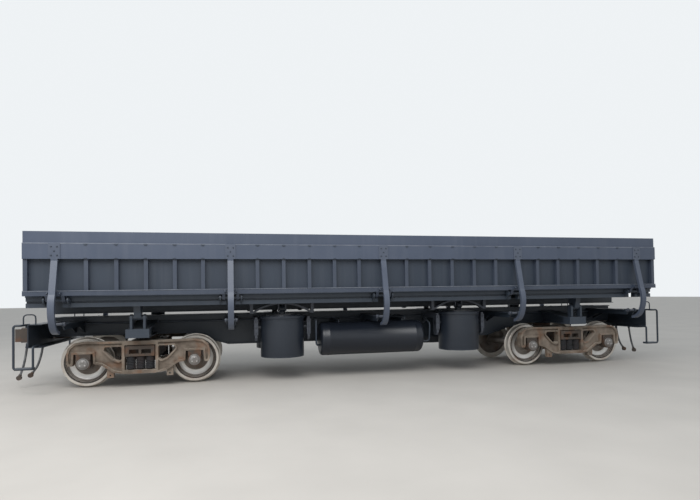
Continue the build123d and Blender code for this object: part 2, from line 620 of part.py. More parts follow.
# Air reservoir: rolled shell with dished heads, hooked over two brackets from the centre sill
tank = round_x(-TANK_Y, TANK_Z, TANK_R, TANK_X - TANK_HALF, TANK_X + TANK_HALF)
tank = fillet(tank.edges().filter_by(GeomType.CIRCLE), TANK_DISH)
save("air_reservoir", [tank])
bracket_foot = SILL_BELLY + 3 * SILL_FLANGE
brackets = []
for x in (TANK_X - TANK_BRACKET_X, TANK_X + TANK_BRACKET_X):
    span = (x - BRACKET_THICK / 2, x + BRACKET_THICK / 2)
    bracket = prism_x(
        [(-SILL_HALF, bracket_foot), (-TANK_Y + TANK_R - BRACKET_RISE, bracket_foot),
         (-TANK_Y, TANK_Z), (-TANK_Y - BRACKET_RISE, TANK_Z + TANK_R),
         (-TANK_Y - BRACKET_RISE, TANK_Z + TANK_R + BRACKET_RISE / 2),
         (-TANK_Y, TANK_Z + TANK_R + BRACKET_RISE), (-SILL_HALF, TANK_Z + TANK_R + BRACKET_RISE)],
        span[0], span[1])
    brackets.append(bracket - round_x(-TANK_Y, TANK_Z, TANK_R, span[0] - 1, span[1] + 1))
save("reservoir_brackets", brackets)

# Wheelsets: an axle with its end caps, and two wheels turned to sit on it
wheel_in = BACK_TO_BACK / 2
wheel_out = wheel_in + RIM_WIDTH
web_y = wheel_in + 62
journal_in = JOURNAL_CENTRES / 2 - BEARING_LENGTH / 2
journal_out = JOURNAL_CENTRES / 2 + BEARING_LENGTH / 2
flange_r = TREAD_R + FLANGE_HEIGHT
rim_in = TREAD_R - RIM_THICK
wheel_profile = [
    (AXLE_R, wheel_in - 24), (WHEEL_HUB_R, wheel_in - 20), (WHEEL_HUB_R, wheel_in + 30),
    (rim_in - 30, web_y - 14), (rim_in, wheel_in), (flange_r - 14, wheel_in),
    (flange_r, wheel_in + 12), (flange_r - 4, wheel_in + 24), (TREAD_R + 4, wheel_in + FLANGE_WIDTH),
    (TREAD_R, wheel_in + 60), (TREAD_R - 5, wheel_out - 4), (TREAD_R - 9, wheel_out),
    (rim_in, wheel_out), (rim_in - 30, web_y + WEB_THICK - 14),
    (WHEEL_HUB_R, wheel_in + 72), (WHEEL_HUB_R - 6, wheel_in + 140), (AXLE_R, wheel_in + 140)]
axle_half = [
    (AXLE_R, journal_in - 4), (JOURNAL_R, journal_in - 4), (JOURNAL_R, journal_out + 4),
    (END_CAP_R, journal_out + 4), (END_CAP_R, journal_out + END_CAP_THICK), (0, journal_out + END_CAP_THICK)]
axle_profile = [(r, -y) for r, y in reversed(axle_half)] + axle_half
wheelset = []
for profile in (axle_profile, wheel_profile, [(r, -y) for r, y in wheel_profile]):
    turned = revolve(make_face(Polyline(*[(r, y, 0) for r, y in profile], close=True)), axis=Axis.Y)
    wheelset.append(turned)

# Side frame of the three-piece truck, as one side of its outline about the truck's centre
axle_x = WHEELBASE / 2


def between(share):
    """Distance from the truck's centre at a share of the way from the column to the axle."""
    return COLUMN_X + share * (axle_x - COLUMN_X)


jaw_in = axle_x - PEDESTAL_HALF
jaw_out = axle_x + PEDESTAL_HALF
outline = [
    (0, RAIL + 786), (between(0.55), RAIL + 788), (axle_x - 20, RAIL + 800), (axle_x + 150, RAIL + 772),
    (axle_x + 238, RAIL + 692), (axle_x + 268, RAIL + 580), (axle_x + 262, RAIL + 430),
    (axle_x + 240, RAIL + 386), (jaw_out + 24, RAIL + 386), (jaw_out + 8, RAIL + 420),
    (jaw_out, PEDESTAL_ROOF), (jaw_in, PEDESTAL_ROOF), (jaw_in - 8, RAIL + 420), (jaw_in - 40, RAIL + 400),
    (between(0.54), RAIL + 386), (between(0.35), RAIL + 306), (between(0.2), RAIL + 244),
    (COLUMN_X - 50, FRAME_BOTTOM), (0, FRAME_BOTTOM)]
outline += [(-x, z) for x, z in reversed(outline[1:-1])]
window_outline = [
    (between(0.44), RAIL + 694), (COLUMN_X, RAIL + 694), (COLUMN_X, RAIL + 480), (between(0.08), RAIL + 442),
    (between(0.22), RAIL + 474), (between(0.48), RAIL + 640)]
frame_y = JOURNAL_CENTRES / 2
half_frame = FRAME_THICK / 2
frame_plane = Plane(origin=(0, 0, 0), x_dir=(1, 0, 0), z_dir=(0, -1, 0))
frame_face = make_face(Polyline(*outline, close=True))
inner_face = offset(frame_face, -FRAME_RIM, kind=Kind.INTERSECTION)
side_frame = extrude(frame_plane * frame_face, half_frame, both=True)
pocket = extrude(frame_plane * inner_face, half_frame, both=True)
pocket -= block((-2000, 2000), (-FRAME_WEB / 2, FRAME_WEB / 2), (0, 1000))
window = make_face(Polyline(*window_outline, close=True))
window = fillet(window.vertices(), 24)
rim = offset(window, FRAME_RIM - 8)
cut = extrude(frame_plane * window, FRAME_THICK, both=True)
rim = extrude(frame_plane * rim, half_frame, both=True)
column_in = COLUMN_X - COLUMN_WIDTH
spring_window = block((-column_in, column_in), (-FRAME_THICK, FRAME_THICK), (SPRING_BASE, RAIL + 716))
column = block((-COLUMN_X, COLUMN_X), (-half_frame, half_frame), (FRAME_BOTTOM + 10, RAIL + 756))
foot = block((between(0.22), between(0.4)), (-SHOE_HALF, SHOE_HALF), (FRAME_BOTTOM - 60, RAIL + 330))
foot -= round_y(between(0.31), FRAME_BOTTOM - 20, 16, -FRAME_THICK, FRAME_THICK)
side_frame = side_frame - pocket + rim + other_end(rim) + column + foot + other_end(foot)
side_frame = side_frame - cut - other_end(cut) - spring_window

# Truck bolster, with pockets in its ends and a centre bowl
seat_in, seat_out = frame_y - SPRING_SEAT_HALF, frame_y + SPRING_SEAT_HALF
bolster = prism_x(
    [(-seat_out, SPRING_TOP), (-seat_in, SPRING_TOP), (-BOLSTER_BELLY_Y, BOLSTER_BELLY_Z),
     (BOLSTER_BELLY_Y, BOLSTER_BELLY_Z), (seat_in, SPRING_TOP), (seat_out, SPRING_TOP),
     (seat_out, BOLSTER_END_TOP), (seat_in, BOLSTER_END_TOP), (BOLSTER_CROWN_Y, BOLSTER_CROWN_Z),
     (-BOLSTER_CROWN_Y, BOLSTER_CROWN_Z), (-seat_in, BOLSTER_END_TOP), (-seat_out, BOLSTER_END_TOP)],
    -BOLSTER_END_HALF, BOLSTER_END_HALF)
for side in (-1, 1):
    for x in (-BOLSTER_POCKET_X, BOLSTER_POCKET_X):
        span = sorted((side * (seat_out - BOLSTER_POCKET_DEEP), side * (seat_out + 1)))
        bolster -= block((x - BOLSTER_POCKET_HALF, x + BOLSTER_POCKET_HALF), span,
                         (SPRING_TOP + BOLSTER_WALL, BOLSTER_END_TOP - 1.5 * BOLSTER_WALL))
bowl = round_z(0, 0, CENTRE_PLATE_R + BOLSTER_WALL, BOLSTER_CROWN_Z, CENTRE_PLATE_Z + BOWL_LIP)
bowl -= round_z(0, 0, CENTRE_PLATE_R + BOWL_GAP, CENTRE_PLATE_Z - RUNNING_GAP, CENTRE_PLATE_Z + BOWL_LIP + 1)
bolster += bowl


def spring(x, y):
    """Outer coil of a spring nest as stacked turns on a core."""
    pitch = (SPRING_TOP - SPRING_BASE) / SPRING_TURNS
    points = [(0, SPRING_BASE)]
    for turn in range(SPRING_TURNS):
        low = SPRING_BASE + turn * pitch
        points += [(SPRING_R - 16, low), (SPRING_R, low + 0.25 * pitch),
                   (SPRING_R, low + 0.6 * pitch), (SPRING_R - 16, low + 0.85 * pitch)]
    points += [(SPRING_R - 16, SPRING_TOP), (0, SPRING_TOP)]
    face = make_face(Polyline(*[(r, 0, z) for r, z in points], close=True))
    return Pos(x, y, 0) * revolve(face, axis=Axis.Z)


# Bearings: cup and adapter in each pedestal jaw
bearing = round_y(0, AXLE_Z, BEARING_R, frame_y - BEARING_LENGTH / 2, frame_y + BEARING_LENGTH / 2)
bearing += block((-ADAPTER_HALF, ADAPTER_HALF), (frame_y - ADAPTER_DEPTH, frame_y + ADAPTER_DEPTH),
                 (AXLE_Z + JOURNAL_R, PEDESTAL_ROOF))
bearing -= round_y(0, AXLE_Z, JOURNAL_R + RUNNING_GAP, frame_y - 120, frame_y + 120)

# Brake beams inside each truck, hung between the side frames
beam_y = frame_y - FRAME_WEB / 2
brake_beam = block(BRAKE_BEAM_X, (-beam_y, beam_y), BRAKE_BEAM_Z)
shoe_y = wheel_in + RIM_WIDTH / 2
for side in (-1, 1):
    shoe = block((BRAKE_BEAM_X[1] - 4, BRAKE_BEAM_X[1] + SHOE_DEPTH),
                 (side * shoe_y - SHOE_HALF, side * shoe_y + SHOE_HALF), SHOE_Z)
    shoe -= round_y(axle_x, AXLE_Z, flange_r + SHOE_GAP, -FRAME_END_X, FRAME_END_X)
    brake_beam += shoe

for tag, centre in TRUCKS.items():
    here = Pos(centre, 0, 0)
    frames = [here * Pos(0, frame_y, 0) * side_frame, here * Pos(0, -frame_y, 0) * side_frame]
    save(f"truck_{tag}_side_frames", frames)
    save(f"truck_{tag}_bolster", [here * bolster])
    nests = [spring(k * SPRING_PITCH_X, side * frame_y) for side in (-1, 1) for k in (-1, 0, 1)]
    save(f"truck_{tag}_springs", [here * n for n in nests])
    cups = []
    for dx in (-WHEELBASE / 2, WHEELBASE / 2):
        cup = Pos(dx, 0, 0) * bearing
        cups += [here * cup, here * far(cup)]
    save(f"truck_{tag}_bearings", cups)
    save(f"truck_{tag}_brake_beams", [here * brake_beam, here * other_end(brake_beam)])
    for number, dx in ((1, -WHEELBASE / 2), (2, WHEELBASE / 2)):
        save(f"wheelset_{tag}{number}", [here * Pos(dx, 0, AXLE_Z) * piece for piece in wheelset])

# Couplers: shank, head with its guard arm, and a knuckle
head_back = COUPLER_FACE_X + HEAD_OUTLINE[0][0]
coupler = block((FRAME_END_X - SHANK_IN, head_back + SHANK_LAP), (-SHANK_HALF, SHANK_HALF),
                (COUPLER_Z - SHANK_HIGH, COUPLER_Z + SHANK_HIGH))
for outline, high in ((HEAD_OUTLINE, HEAD_HIGH), (KNUCKLE_OUTLINE, KNUCKLE_HIGH)):
    flat = make_face(Polyline(*[(COUPLER_FACE_X + x, y) for x, y in outline], close=True))
    solid = Pos(0, 0, COUPLER_Z - high / 2) * extrude(flat, high)
    if outline is HEAD_OUTLINE:
        coupler += solid
    else:
        knuckle = solid
save("couplers", [coupler, knuckle, Rot(0, 0, 180) * coupler, Rot(0, 0, 180) * knuckle])

# Side steps and grab rails at each corner
sill_face = FRAME_END_X + END_PLATE
steps = []
leg_z = END_SILL_BOTTOM + END_PLATE + RAIL_TUBE_R + SEAT
step_leg = tube([(STEP_X[0], END_SILL_HALF - STEP_REACH / 2, leg_z), (STEP_X[0], STEP_Y, leg_z),
                 (STEP_X[0], STEP_Y, STEP_Z), (STEP_X[1], STEP_Y, STEP_Z),
                 (STEP_X[1], STEP_Y, STEP_RAIL_TOP), (sill_face + STEP_RAIL_OUT, STEP_Y, STEP_RAIL_TOP),
                 (sill_face + STEP_RAIL_OUT, END_SILL_HALF - STEP_RAIL_IN, STEP_RAIL_TOP)],
                RAIL_TUBE_R, STEP_LEG_BEND)
tread = block((STEP_X[0] + RAIL_TUBE_R / 2, STEP_X[1] - RAIL_TUBE_R / 2), (STEP_Y - STEP_TREAD_DEEP, STEP_Y),
              (STEP_Z - TREAD_THICK / 2, STEP_Z + TREAD_THICK / 2))
step_end = step_leg + tread
arm_in = block((sill_face, sill_face + STEP_RAIL_OUT + RAIL_TUBE_R),
               (END_SILL_HALF - STEP_RAIL_IN - RAIL_TUBE_R, END_SILL_HALF - STEP_RAIL_IN + RAIL_TUBE_R),
               (STEP_RAIL_TOP - 3 * RAIL_TUBE_R, STEP_RAIL_TOP + RAIL_TUBE_R))
step_end += arm_in
for one in (step_end, far(step_end)):
    steps += [one, other_end(one)]
save("end_steps", steps)

# Air hoses at each end: pipe stubs through the end sill, hanging hoses and their coupling heads
HOSES = {  # y, then x beyond the end sill's face and z of each point along the hose
    "brake": (-300, [(104, 690), (124, 574), (154, 455), (195, 343), (263, 250)]),
    "tipping": (-470, [(300, 705), (316, 588), (337, 468), (364, 351), (403, 243)])}


def arc_radii(points):
    """Radius at each corner: a share of the shorter run beside it over the tangent of half the turn."""
    runs = [Vector(*b) - Vector(*a) for a, b in zip(points, points[1:])]
    return [ARC_SHARE * min(a.length, b.length) / math.tan(math.radians(a.get_angle(b)) / 2)
            for a, b in zip(runs, runs[1:])]


stubs = []
for kind, (y, route) in HOSES.items():
    points = [(sill_face + x, y, z) for x, z in route]
    radii = arc_radii(points)
    print(kind, "hose arcs", [round(r) for r in radii])
    hose = tube(points, HOSE_R, radii)
    first, last = Vector(*points[0]), Vector(*points[-1])
    down = (Vector(*points[1]) - first).normalized()
    elbow = first - down * NOZZLE_LENGTH
    stub = round_x(y, elbow.Z, STUB_R, sill_face, elbow.X) + Pos(elbow) * Sphere(STUB_R)
    nozzle = Pos(0, 0, NOZZLE_LENGTH / 2) * Cylinder(NOZZLE_R, NOZZLE_LENGTH)
    stub += Plane(origin=elbow, z_dir=down) * nozzle
    stub += round_y(sill_face + COCK_X, elbow.Z, COCK_R, y - COCK_OUT, y)
    aim = Plane(origin=last, z_dir=last - Vector(*points[-2]))
    neck = aim * Pos(0, 0, HAND_THICK / 2) * Cylinder(HOSE_R + 6, HAND_THICK)
    head_at = last + aim.z_dir * (HAND_THICK + HAND_R / 2)
    head = neck + round_y(head_at.X, head_at.Z, HAND_R, y - HAND_THICK / 2, y + HAND_THICK / 2)
    stubs += [stub, other_end(stub)]
    for end, turned in (("right", lambda shape: shape), ("left", other_end)):
        save(f"hose_{end}_{kind}", [turned(hose)])
        save(f"hose_head_{end}_{kind}", [turned(head)])
save("hose_stubs", stubs)
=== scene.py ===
"""Dresses the side dump car: finishes for every node, round castings, coils, bolts and a studio."""

from __future__ import annotations

import logging
import math
from dataclasses import dataclass, field
from enum import Enum
from typing import Callable, Iterable, Sequence

import bmesh
import bpy
import numpy as np
from mathutils import Matrix, Vector

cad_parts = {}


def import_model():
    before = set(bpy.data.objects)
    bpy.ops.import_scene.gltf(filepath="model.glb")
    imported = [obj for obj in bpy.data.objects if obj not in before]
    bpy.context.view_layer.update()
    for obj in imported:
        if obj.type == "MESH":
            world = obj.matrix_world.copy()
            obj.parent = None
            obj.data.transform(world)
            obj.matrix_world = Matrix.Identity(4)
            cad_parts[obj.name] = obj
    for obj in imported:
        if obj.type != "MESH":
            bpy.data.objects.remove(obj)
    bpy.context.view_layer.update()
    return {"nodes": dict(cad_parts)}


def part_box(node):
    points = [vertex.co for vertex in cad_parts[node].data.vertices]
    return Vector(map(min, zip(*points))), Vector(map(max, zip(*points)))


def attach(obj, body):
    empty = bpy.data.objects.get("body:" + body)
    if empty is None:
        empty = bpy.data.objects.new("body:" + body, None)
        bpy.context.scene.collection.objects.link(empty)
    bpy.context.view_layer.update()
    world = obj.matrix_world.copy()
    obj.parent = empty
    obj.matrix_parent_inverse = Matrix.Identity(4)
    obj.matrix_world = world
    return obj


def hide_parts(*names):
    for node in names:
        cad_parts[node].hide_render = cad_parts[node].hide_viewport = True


LOG = logging.getLogger("side_dump_car")
MeshData = tuple[np.ndarray, list]
Pair = tuple[float, float]
Profile = list[Pair]
Outline = tuple[Pair, ...]
Point = tuple[float, float, float]
Colour = tuple[float, float, float]
Socket = bpy.types.NodeSocket

RAIL = 0.028
AXLE_Z = 0.448
WHEELBASE = 1.83
TRUCK_CENTRES = {"a": -4.3, "b": 4.3}
CYLINDER_XS = (-1.8, 1.8)
ARM_PITCH = 2.74
ARM_XS = tuple(ARM_PITCH * k for k in range(-2, 3))
RIBS_PER_BAY = 5
RIB_XS = np.array([[x + ARM_PITCH * k / (RIBS_PER_BAY + 1) for k in range(1, RIBS_PER_BAY + 1)]
                   for x in ARM_XS[:-1]]).ravel()
SIDES = {"near": -1.0, "far": 1.0}
BOTH = (-1.0, 1.0)

TURN = 2.0 * math.pi
WELD = 1e-5
FACETED, SMOOTH, ROUND = 20.0, 40.0, 60.0


class Axis(Enum):
    """Direction that a turned form runs along."""

    X = 0
    Y = 1
    Z = 2


# Finishes. Each span is the part of a pattern's range that shows.

BROAD_DETAIL, GRAIN_DETAIL = 6.0, 3.0
STREAK_SCALE, STREAK_DETAIL, STREAK_STRETCH = 3.2, 5.0, (2.6, 2.6, 0.16)
RUST_SCALE, RUST_DETAIL = 5.5, 9.0
MOTTLE_SPAN = (0.35, 0.68)
STREAK_SPAN = (0.5, 0.78)
RUST_SPAN = (0.5, 0.66)
DUST_AND_SHEEN_SPAN = (0.2, 0.75)
UPWARD_SPAN = (0.25, 0.95)
SPECK_SPAN, SPECK_AMOUNT = (0.3, 0.8), 0.16
SMOOTHER, ROUGHER, LEAST_ROUGHNESS = 0.1, 0.16, 0.05
BUMP_DISTANCE = 0.004
MIX_FIRST, MIX_SECOND, MIX_RESULT = 6, 7, 2


@dataclass
class Graph:
    """A node tree with short ways to add shader nodes to it."""

    tree: bpy.types.NodeTree

    def node(self, kind: str, inputs: dict | None = None,
             **settings: str | bool) -> bpy.types.Node:
        """Adds a shader node.

        Args:
            kind: Type of node, without its first word ShaderNode.
            inputs: For each input's name or number, a socket to link from or a constant.
            settings: Properties of the node.

        Returns:
            The new node.
        """
        made = self.tree.nodes.new(f"ShaderNode{kind}")
        for name, value in settings.items():
            setattr(made, name, value)
        for key, value in (inputs or {}).items():
            if isinstance(value, Socket):
                self.tree.links.new(value, made.inputs[key])
            else:
                made.inputs[key].default_value = value
        return made

    def noise(self, place: Socket, scale: float, detail: float,
              stretch: Point = (1.0, 1.0, 1.0)) -> Socket:
        """Fractal noise on Object coordinates, stretched by a factor on each axis."""
        mapping = self.node("Mapping", {"Vector": place, "Scale": stretch})
        return self.node("TexNoise", {"Vector": mapping.outputs["Vector"], "Scale": scale,
                                      "Detail": detail}).outputs["Fac"]

    def span(self, value: Socket, span: Pair, top: float) -> Socket:
        """Maps a span of a value to 0..top, clamped."""
        return self.node("MapRange", {"Value": value, "From Min": span[0], "From Max": span[1],
                                      "To Max": top}).outputs["Result"]

    def mix(self, amount: Socket, first: Colour | Socket, second: Colour | Socket) -> Socket:
        """Blends two colours, each a tuple or a socket, by a factor socket."""
        first, second = ((*c, 1.0) if isinstance(c, tuple) else c for c in (first, second))
        return self.node("Mix", {"Factor": amount, MIX_FIRST: first, MIX_SECOND: second},
                         data_type="RGBA").outputs[MIX_RESULT]

    def upward(self) -> Socket:
        """How far a face looks up, 0 to 1, from the Z of its normal."""
        split = self.node("SeparateXYZ", {0: self.node("NewGeometry").outputs["Normal"]})
        return self.span(split.outputs["Z"], UPWARD_SPAN, 1.0)


@dataclass(frozen=True)
class Finish:
    """A layered surface: base colour, broad mottling, settled dust and painted highlight on faces
    that look up, scuffs and fine bump.

    Colours are linear RGB. Sizes of pattern are in cycles per metre.
    """

    name: str
    base: Colour
    mottle: Colour
    roughness: float = 0.5
    metallic: float = 0.0
    mottle_scale: float = 1.6
    mottle_amount: float = 0.5
    dust_and_sheen: Colour = (0.26, 0.23, 0.2)
    dust_and_sheen_amount: float = 0.25
    rust: Colour = (0.14, 0.055, 0.026)
    rust_amount: float = 0.0
    grain_scale: float = 90.0
    bump: float = 0.12
    streaks: float = 0.0

    def material(self) -> bpy.types.Material:
        """Builds the node tree for this finish.

        Returns:
            The new material.
        """
        made = bpy.data.materials.new(self.name)
        made.use_nodes = True
        graph = Graph(made.node_tree)
        graph.tree.nodes.clear()
        place = graph.node("TexCoord").outputs["Object"]
        broad = graph.noise(place, self.mottle_scale, BROAD_DETAIL)
        fine = graph.noise(place, self.grain_scale, GRAIN_DETAIL)
        rough = graph.node("MapRange", {
            "Value": broad, "To Min": max(LEAST_ROUGHNESS, self.roughness - SMOOTHER),
            "To Max": min(1.0, self.roughness + ROUGHER)})
        bump = graph.node("Bump", {
            "Strength": self.bump, "Distance": BUMP_DISTANCE, "Height": fine})
        shader = graph.node("BsdfPrincipled", {
            "Base Color": self._colour(graph, place, broad, fine), "Metallic": self.metallic,
            "Roughness": rough.outputs["Result"], "Normal": bump.outputs["Normal"]})
        graph.node("OutputMaterial", {"Surface": shader.outputs["BSDF"]})
        return made

    def _colour(self, graph: Graph, place: Socket, broad: Socket, fine: Socket) -> Socket:
        """Layers mottling, streaks, rust, settled dust with painted highlight on faces that look
        up, and specks over the base colour.

        Args:
            graph: Graph that gets the nodes.
            place: Object coordinates.
            broad: The broad pattern.
            fine: The grain.

        Returns:
            The finished colour.
        """
        amount = graph.span(broad, MOTTLE_SPAN, self.mottle_amount)
        colour = graph.mix(amount, self.base, self.mottle)
        if self.streaks:
            run = graph.noise(place, STREAK_SCALE, STREAK_DETAIL, STREAK_STRETCH)
            amount = graph.span(run, STREAK_SPAN, self.streaks)
            colour = graph.mix(amount, colour, self.dust_and_sheen)
        if self.rust_amount:
            patch = graph.noise(place, RUST_SCALE, RUST_DETAIL)
            amount = graph.span(patch, RUST_SPAN, self.rust_amount)
            colour = graph.mix(amount, colour, self.rust)
        # Faces that look up get a paler layer: settled dust, and in the bright finishes a painted
        # highlight on sunlit tops.
        if self.dust_and_sheen_amount:
            amount = graph.span(broad, DUST_AND_SHEEN_SPAN, self.dust_and_sheen_amount)
            dust_and_sheen_layer = graph.node("Math", {0: graph.upward(), 1: amount}, operation="MULTIPLY")
            colour = graph.mix(dust_and_sheen_layer.outputs[0], colour, self.dust_and_sheen)
        speck = graph.span(fine, SPECK_SPAN, SPECK_AMOUNT)
        return graph.mix(speck, colour, self.mottle)


RAIL_PAINT = Finish("rail_paint", (0.058, 0.075, 0.114), (0.083, 0.102, 0.148), roughness=0.42,
                    dust_and_sheen_amount=0.45, streaks=0.07, bump=0.08, dust_and_sheen=(0.27, 0.28, 0.31))
# Darker copy of the box paint for the gate skin between the ribs: painted shade of the ribs. The
# deck, the far fillet, the pad rivets and the rib lips take it too.
SHADED_PANEL_PAINT = Finish("shaded_panel_paint", (0.025, 0.036, 0.055), (0.036, 0.048, 0.07),
                     mottle_amount=0.6, mottle_scale=0.9, dust_and_sheen_amount=0.35, streaks=0.08,
                     bump=0.08, dust_and_sheen=(0.2, 0.21, 0.23))
RIB_PAINT = Finish("rib_paint", (0.042, 0.054, 0.081), (0.064, 0.079, 0.11), roughness=0.42,
                   dust_and_sheen_amount=0.7, dust_and_sheen=(0.21, 0.225, 0.25), streaks=0.08, bump=0.08)
ARM_PAINT = Finish("arm_paint", (0.067, 0.083, 0.12), (0.112, 0.13, 0.17), roughness=0.3,
                   mottle_scale=2.4, dust_and_sheen_amount=0.4, dust_and_sheen=(0.3, 0.31, 0.34), bump=0.1)
FRAME_PAINT = Finish("frame_paint", (0.019, 0.027, 0.039), (0.027, 0.037, 0.052),
                     roughness=0.42, dust_and_sheen_amount=0.4, streaks=0.05, dust_and_sheen=(0.12, 0.125, 0.13))
SILL_PAINT = Finish("sill_paint", (0.03, 0.041, 0.058), (0.043, 0.056, 0.078), roughness=0.4,
                    dust_and_sheen_amount=0.5, streaks=0.08, dust_and_sheen=(0.16, 0.16, 0.16))
YOKE_PAINT = Finish("yoke_paint", (0.06, 0.068, 0.088), (0.1, 0.112, 0.14), roughness=0.36,
                    mottle_scale=4.0, dust_and_sheen_amount=0.5, dust_and_sheen=(0.24, 0.24, 0.25))
GEAR_PAINT = Finish("gear_paint", (0.017, 0.023, 0.034), (0.026, 0.033, 0.046), roughness=0.34,
                    dust_and_sheen_amount=0.28, bump=0.05, dust_and_sheen=(0.15, 0.15, 0.15))
TANK_PAINT = Finish("tank_paint", (0.007, 0.01, 0.017), (0.012, 0.016, 0.025), roughness=0.27,
                    mottle_scale=0.4, dust_and_sheen_amount=0.2, bump=0.015, dust_and_sheen=(0.07, 0.075, 0.085))
# The bright pale layer on upward faces is partly settled dust and partly a painted highlight on the
# sunlit tops of the side frames.
CAST_RUST = Finish("cast_rust", (0.3, 0.247, 0.197), (0.085, 0.063, 0.047), roughness=0.8,
                   mottle_scale=4.2, mottle_amount=0.85, rust_amount=0.6,
                   rust=(0.19, 0.09, 0.045), dust_and_sheen=(0.68, 0.6, 0.5), dust_and_sheen_amount=0.95,
                   grain_scale=110.0, bump=0.7)
CAST_DARK = Finish("cast_dark", (0.06, 0.048, 0.04), (0.1, 0.078, 0.064), roughness=0.75,
                   mottle_scale=5.0, rust_amount=0.6, rust=(0.15, 0.066, 0.03), dust_and_sheen_amount=0.6,
                   dust_and_sheen=(0.4, 0.35, 0.29), grain_scale=110.0, bump=0.5)
# The paler layer on the bars' upper faces is partly dust and partly a painted highlight that marks
# each turn.
SPRING_DARK = Finish("spring_dark", (0.012, 0.013, 0.016), (0.026, 0.026, 0.029),
                     roughness=0.84, rust_amount=0.12, dust_and_sheen_amount=0.4, dust_and_sheen=(0.12, 0.115, 0.11))
RIM_BRIGHT = Finish("rim_bright", (0.7, 0.66, 0.6), (0.4, 0.35, 0.3), roughness=0.32,
                    metallic=0.45, mottle_scale=3.0, rust_amount=0.3, rust=(0.3, 0.19, 0.12),
                    dust_and_sheen_amount=0.0, bump=0.06)
BAND_DARK = Finish("band_dark", (0.03, 0.027, 0.026), (0.07, 0.056, 0.047), roughness=0.6,
                   rust_amount=0.3, dust_and_sheen_amount=0.0)
WEB_STEEL = Finish("web_steel", (0.3, 0.275, 0.25), (0.1, 0.082, 0.07), roughness=0.34,
                   metallic=0.5, mottle_scale=2.6, mottle_amount=0.8, rust_amount=0.5,
                   rust=(0.14, 0.08, 0.05), dust_and_sheen_amount=0.2)
# Near-white ring across the web's dish: a painted reflection of the sky.
WEB_SHEEN_PAINT = Finish("web_painted_sheen", (0.85, 0.83, 0.8), (0.5, 0.47, 0.43), roughness=0.3,
                  metallic=0.35, mottle_scale=2.2, mottle_amount=0.6, dust_and_sheen_amount=0.0, bump=0.04)
CAP_STEEL = Finish("cap_steel", (0.3, 0.29, 0.28), (0.12, 0.105, 0.095), roughness=0.42,
                   metallic=0.5, mottle_scale=9.0, rust_amount=0.25, dust_and_sheen_amount=0.0)
BOLT_STEEL = Finish("bolt_steel", (0.6, 0.59, 0.57), (0.4, 0.38, 0.36), roughness=0.34,
                    metallic=0.6, mottle_scale=12.0, dust_and_sheen_amount=0.0)
# Lighter copy of the box paint for thin strips along the ledges: a painted highlight where the
# edges catch the light.
EDGE_HIGHLIGHT_PAINT = Finish("edge_highlight", (0.22, 0.235, 0.27), (0.11, 0.125, 0.16), mottle_scale=5.0,
                   mottle_amount=0.9, dust_and_sheen_amount=0.6, dust_and_sheen=(0.42, 0.43, 0.46))
HOSE_RUBBER = Finish("hose_rubber", (0.06, 0.062, 0.066), (0.2, 0.205, 0.21), roughness=0.6,
                     mottle_scale=9.0, mottle_amount=0.8, dust_and_sheen_amount=0.3)
ROD_STEEL = Finish("rod_steel", (0.07, 0.072, 0.08), (0.12, 0.12, 0.125), roughness=0.3,
                   metallic=0.4, dust_and_sheen_amount=0.15)


# Mesh tools

def merged(parts: Iterable[MeshData]) -> MeshData:
    """Joins vertex and face lists, with each face's numbers moved past the vertices before it."""
    points, faces, start = [], [], 0
    for vertices, quads in parts:
        points.append(vertices)
        faces.extend([tuple(int(i) + start for i in face) for face in quads])
        start += len(vertices)
    return np.concatenate(points), faces


def grid_faces(rows: int, columns: int) -> list:
    """Quads between neighbours of a grid whose last column joins the first."""
    row, column = np.meshgrid(np.arange(rows - 1), np.arange(columns), indexing="ij")
    after = (column + 1) % columns
    quads = np.stack([row * columns + column, row * columns + after,
                      (row + 1) * columns + after, (row + 1) * columns + column], axis=-1)
    return quads.reshape(-1, 4).tolist()


def circle(steps: int) -> np.ndarray:
    """Even angles round a full circle, without the repeated last one."""
    return np.linspace(0.0, TURN, steps, endpoint=False)


def turned(profile: Sequence[Pair], axis: Axis, centre: Point, segments: int) -> MeshData:
    """Surface of revolution: each profile point (radius, along) is swept through a full circle.

    Args:
        profile: Points of radius and distance along the axis; both ends reach radius 0 to close.
        axis: Axis of the turn.
        centre: A point on the axis, from which the distances count.
        segments: Steps round the circle.

    Returns:
        Vertices and faces.
    """
    outline = np.asarray(profile, dtype=float)
    angle = circle(segments)
    radius = np.maximum(outline[:, :1], WELD)
    across, up = radius * np.cos(angle), radius * np.sin(angle)
    along = np.repeat(outline[:, 1:2], segments, axis=1)
    order = {Axis.X: (along, across, up), Axis.Y: (up, along, across), Axis.Z: (across, up, along)}
    points = np.stack(order[axis], axis=-1).reshape(-1, 3) + np.asarray(centre)
    return points, grid_faces(len(outline), segments)


def swept(path: np.ndarray, radius: float, sides: int) -> MeshData:
    """Round bar along a path: a circle is carried in the plane across each step of the path.

    The circle's first direction is kept level with a fixed vector, so the bar doesn't twist. That
    vector is the vertical, unless the path itself runs upright somewhere.
    """
    ahead = np.gradient(path, axis=0)
    ahead /= np.linalg.norm(ahead, axis=1, keepdims=True)
    upright = abs(ahead[:, 2]).max() >= 0.9
    steady = np.array([0.31, 0.95, 0.05]) if upright else np.array([0.0, 0.0, 1.0])
    side = np.cross(ahead, steady)
    side /= np.linalg.norm(side, axis=1, keepdims=True)
    rise = np.cross(side, ahead)
    angle = circle(sides)
    ring = (side[:, None, :] * np.cos(angle)[None, :, None]
            + rise[:, None, :] * np.sin(angle)[None, :, None]) * radius
    points = (path[:, None, :] + ring).reshape(-1, 3)
    ends = [tuple(range(sides))[::-1], tuple(range((len(path) - 1) * sides, len(path) * sides))]
    return points, grid_faces(len(path), sides) + ends


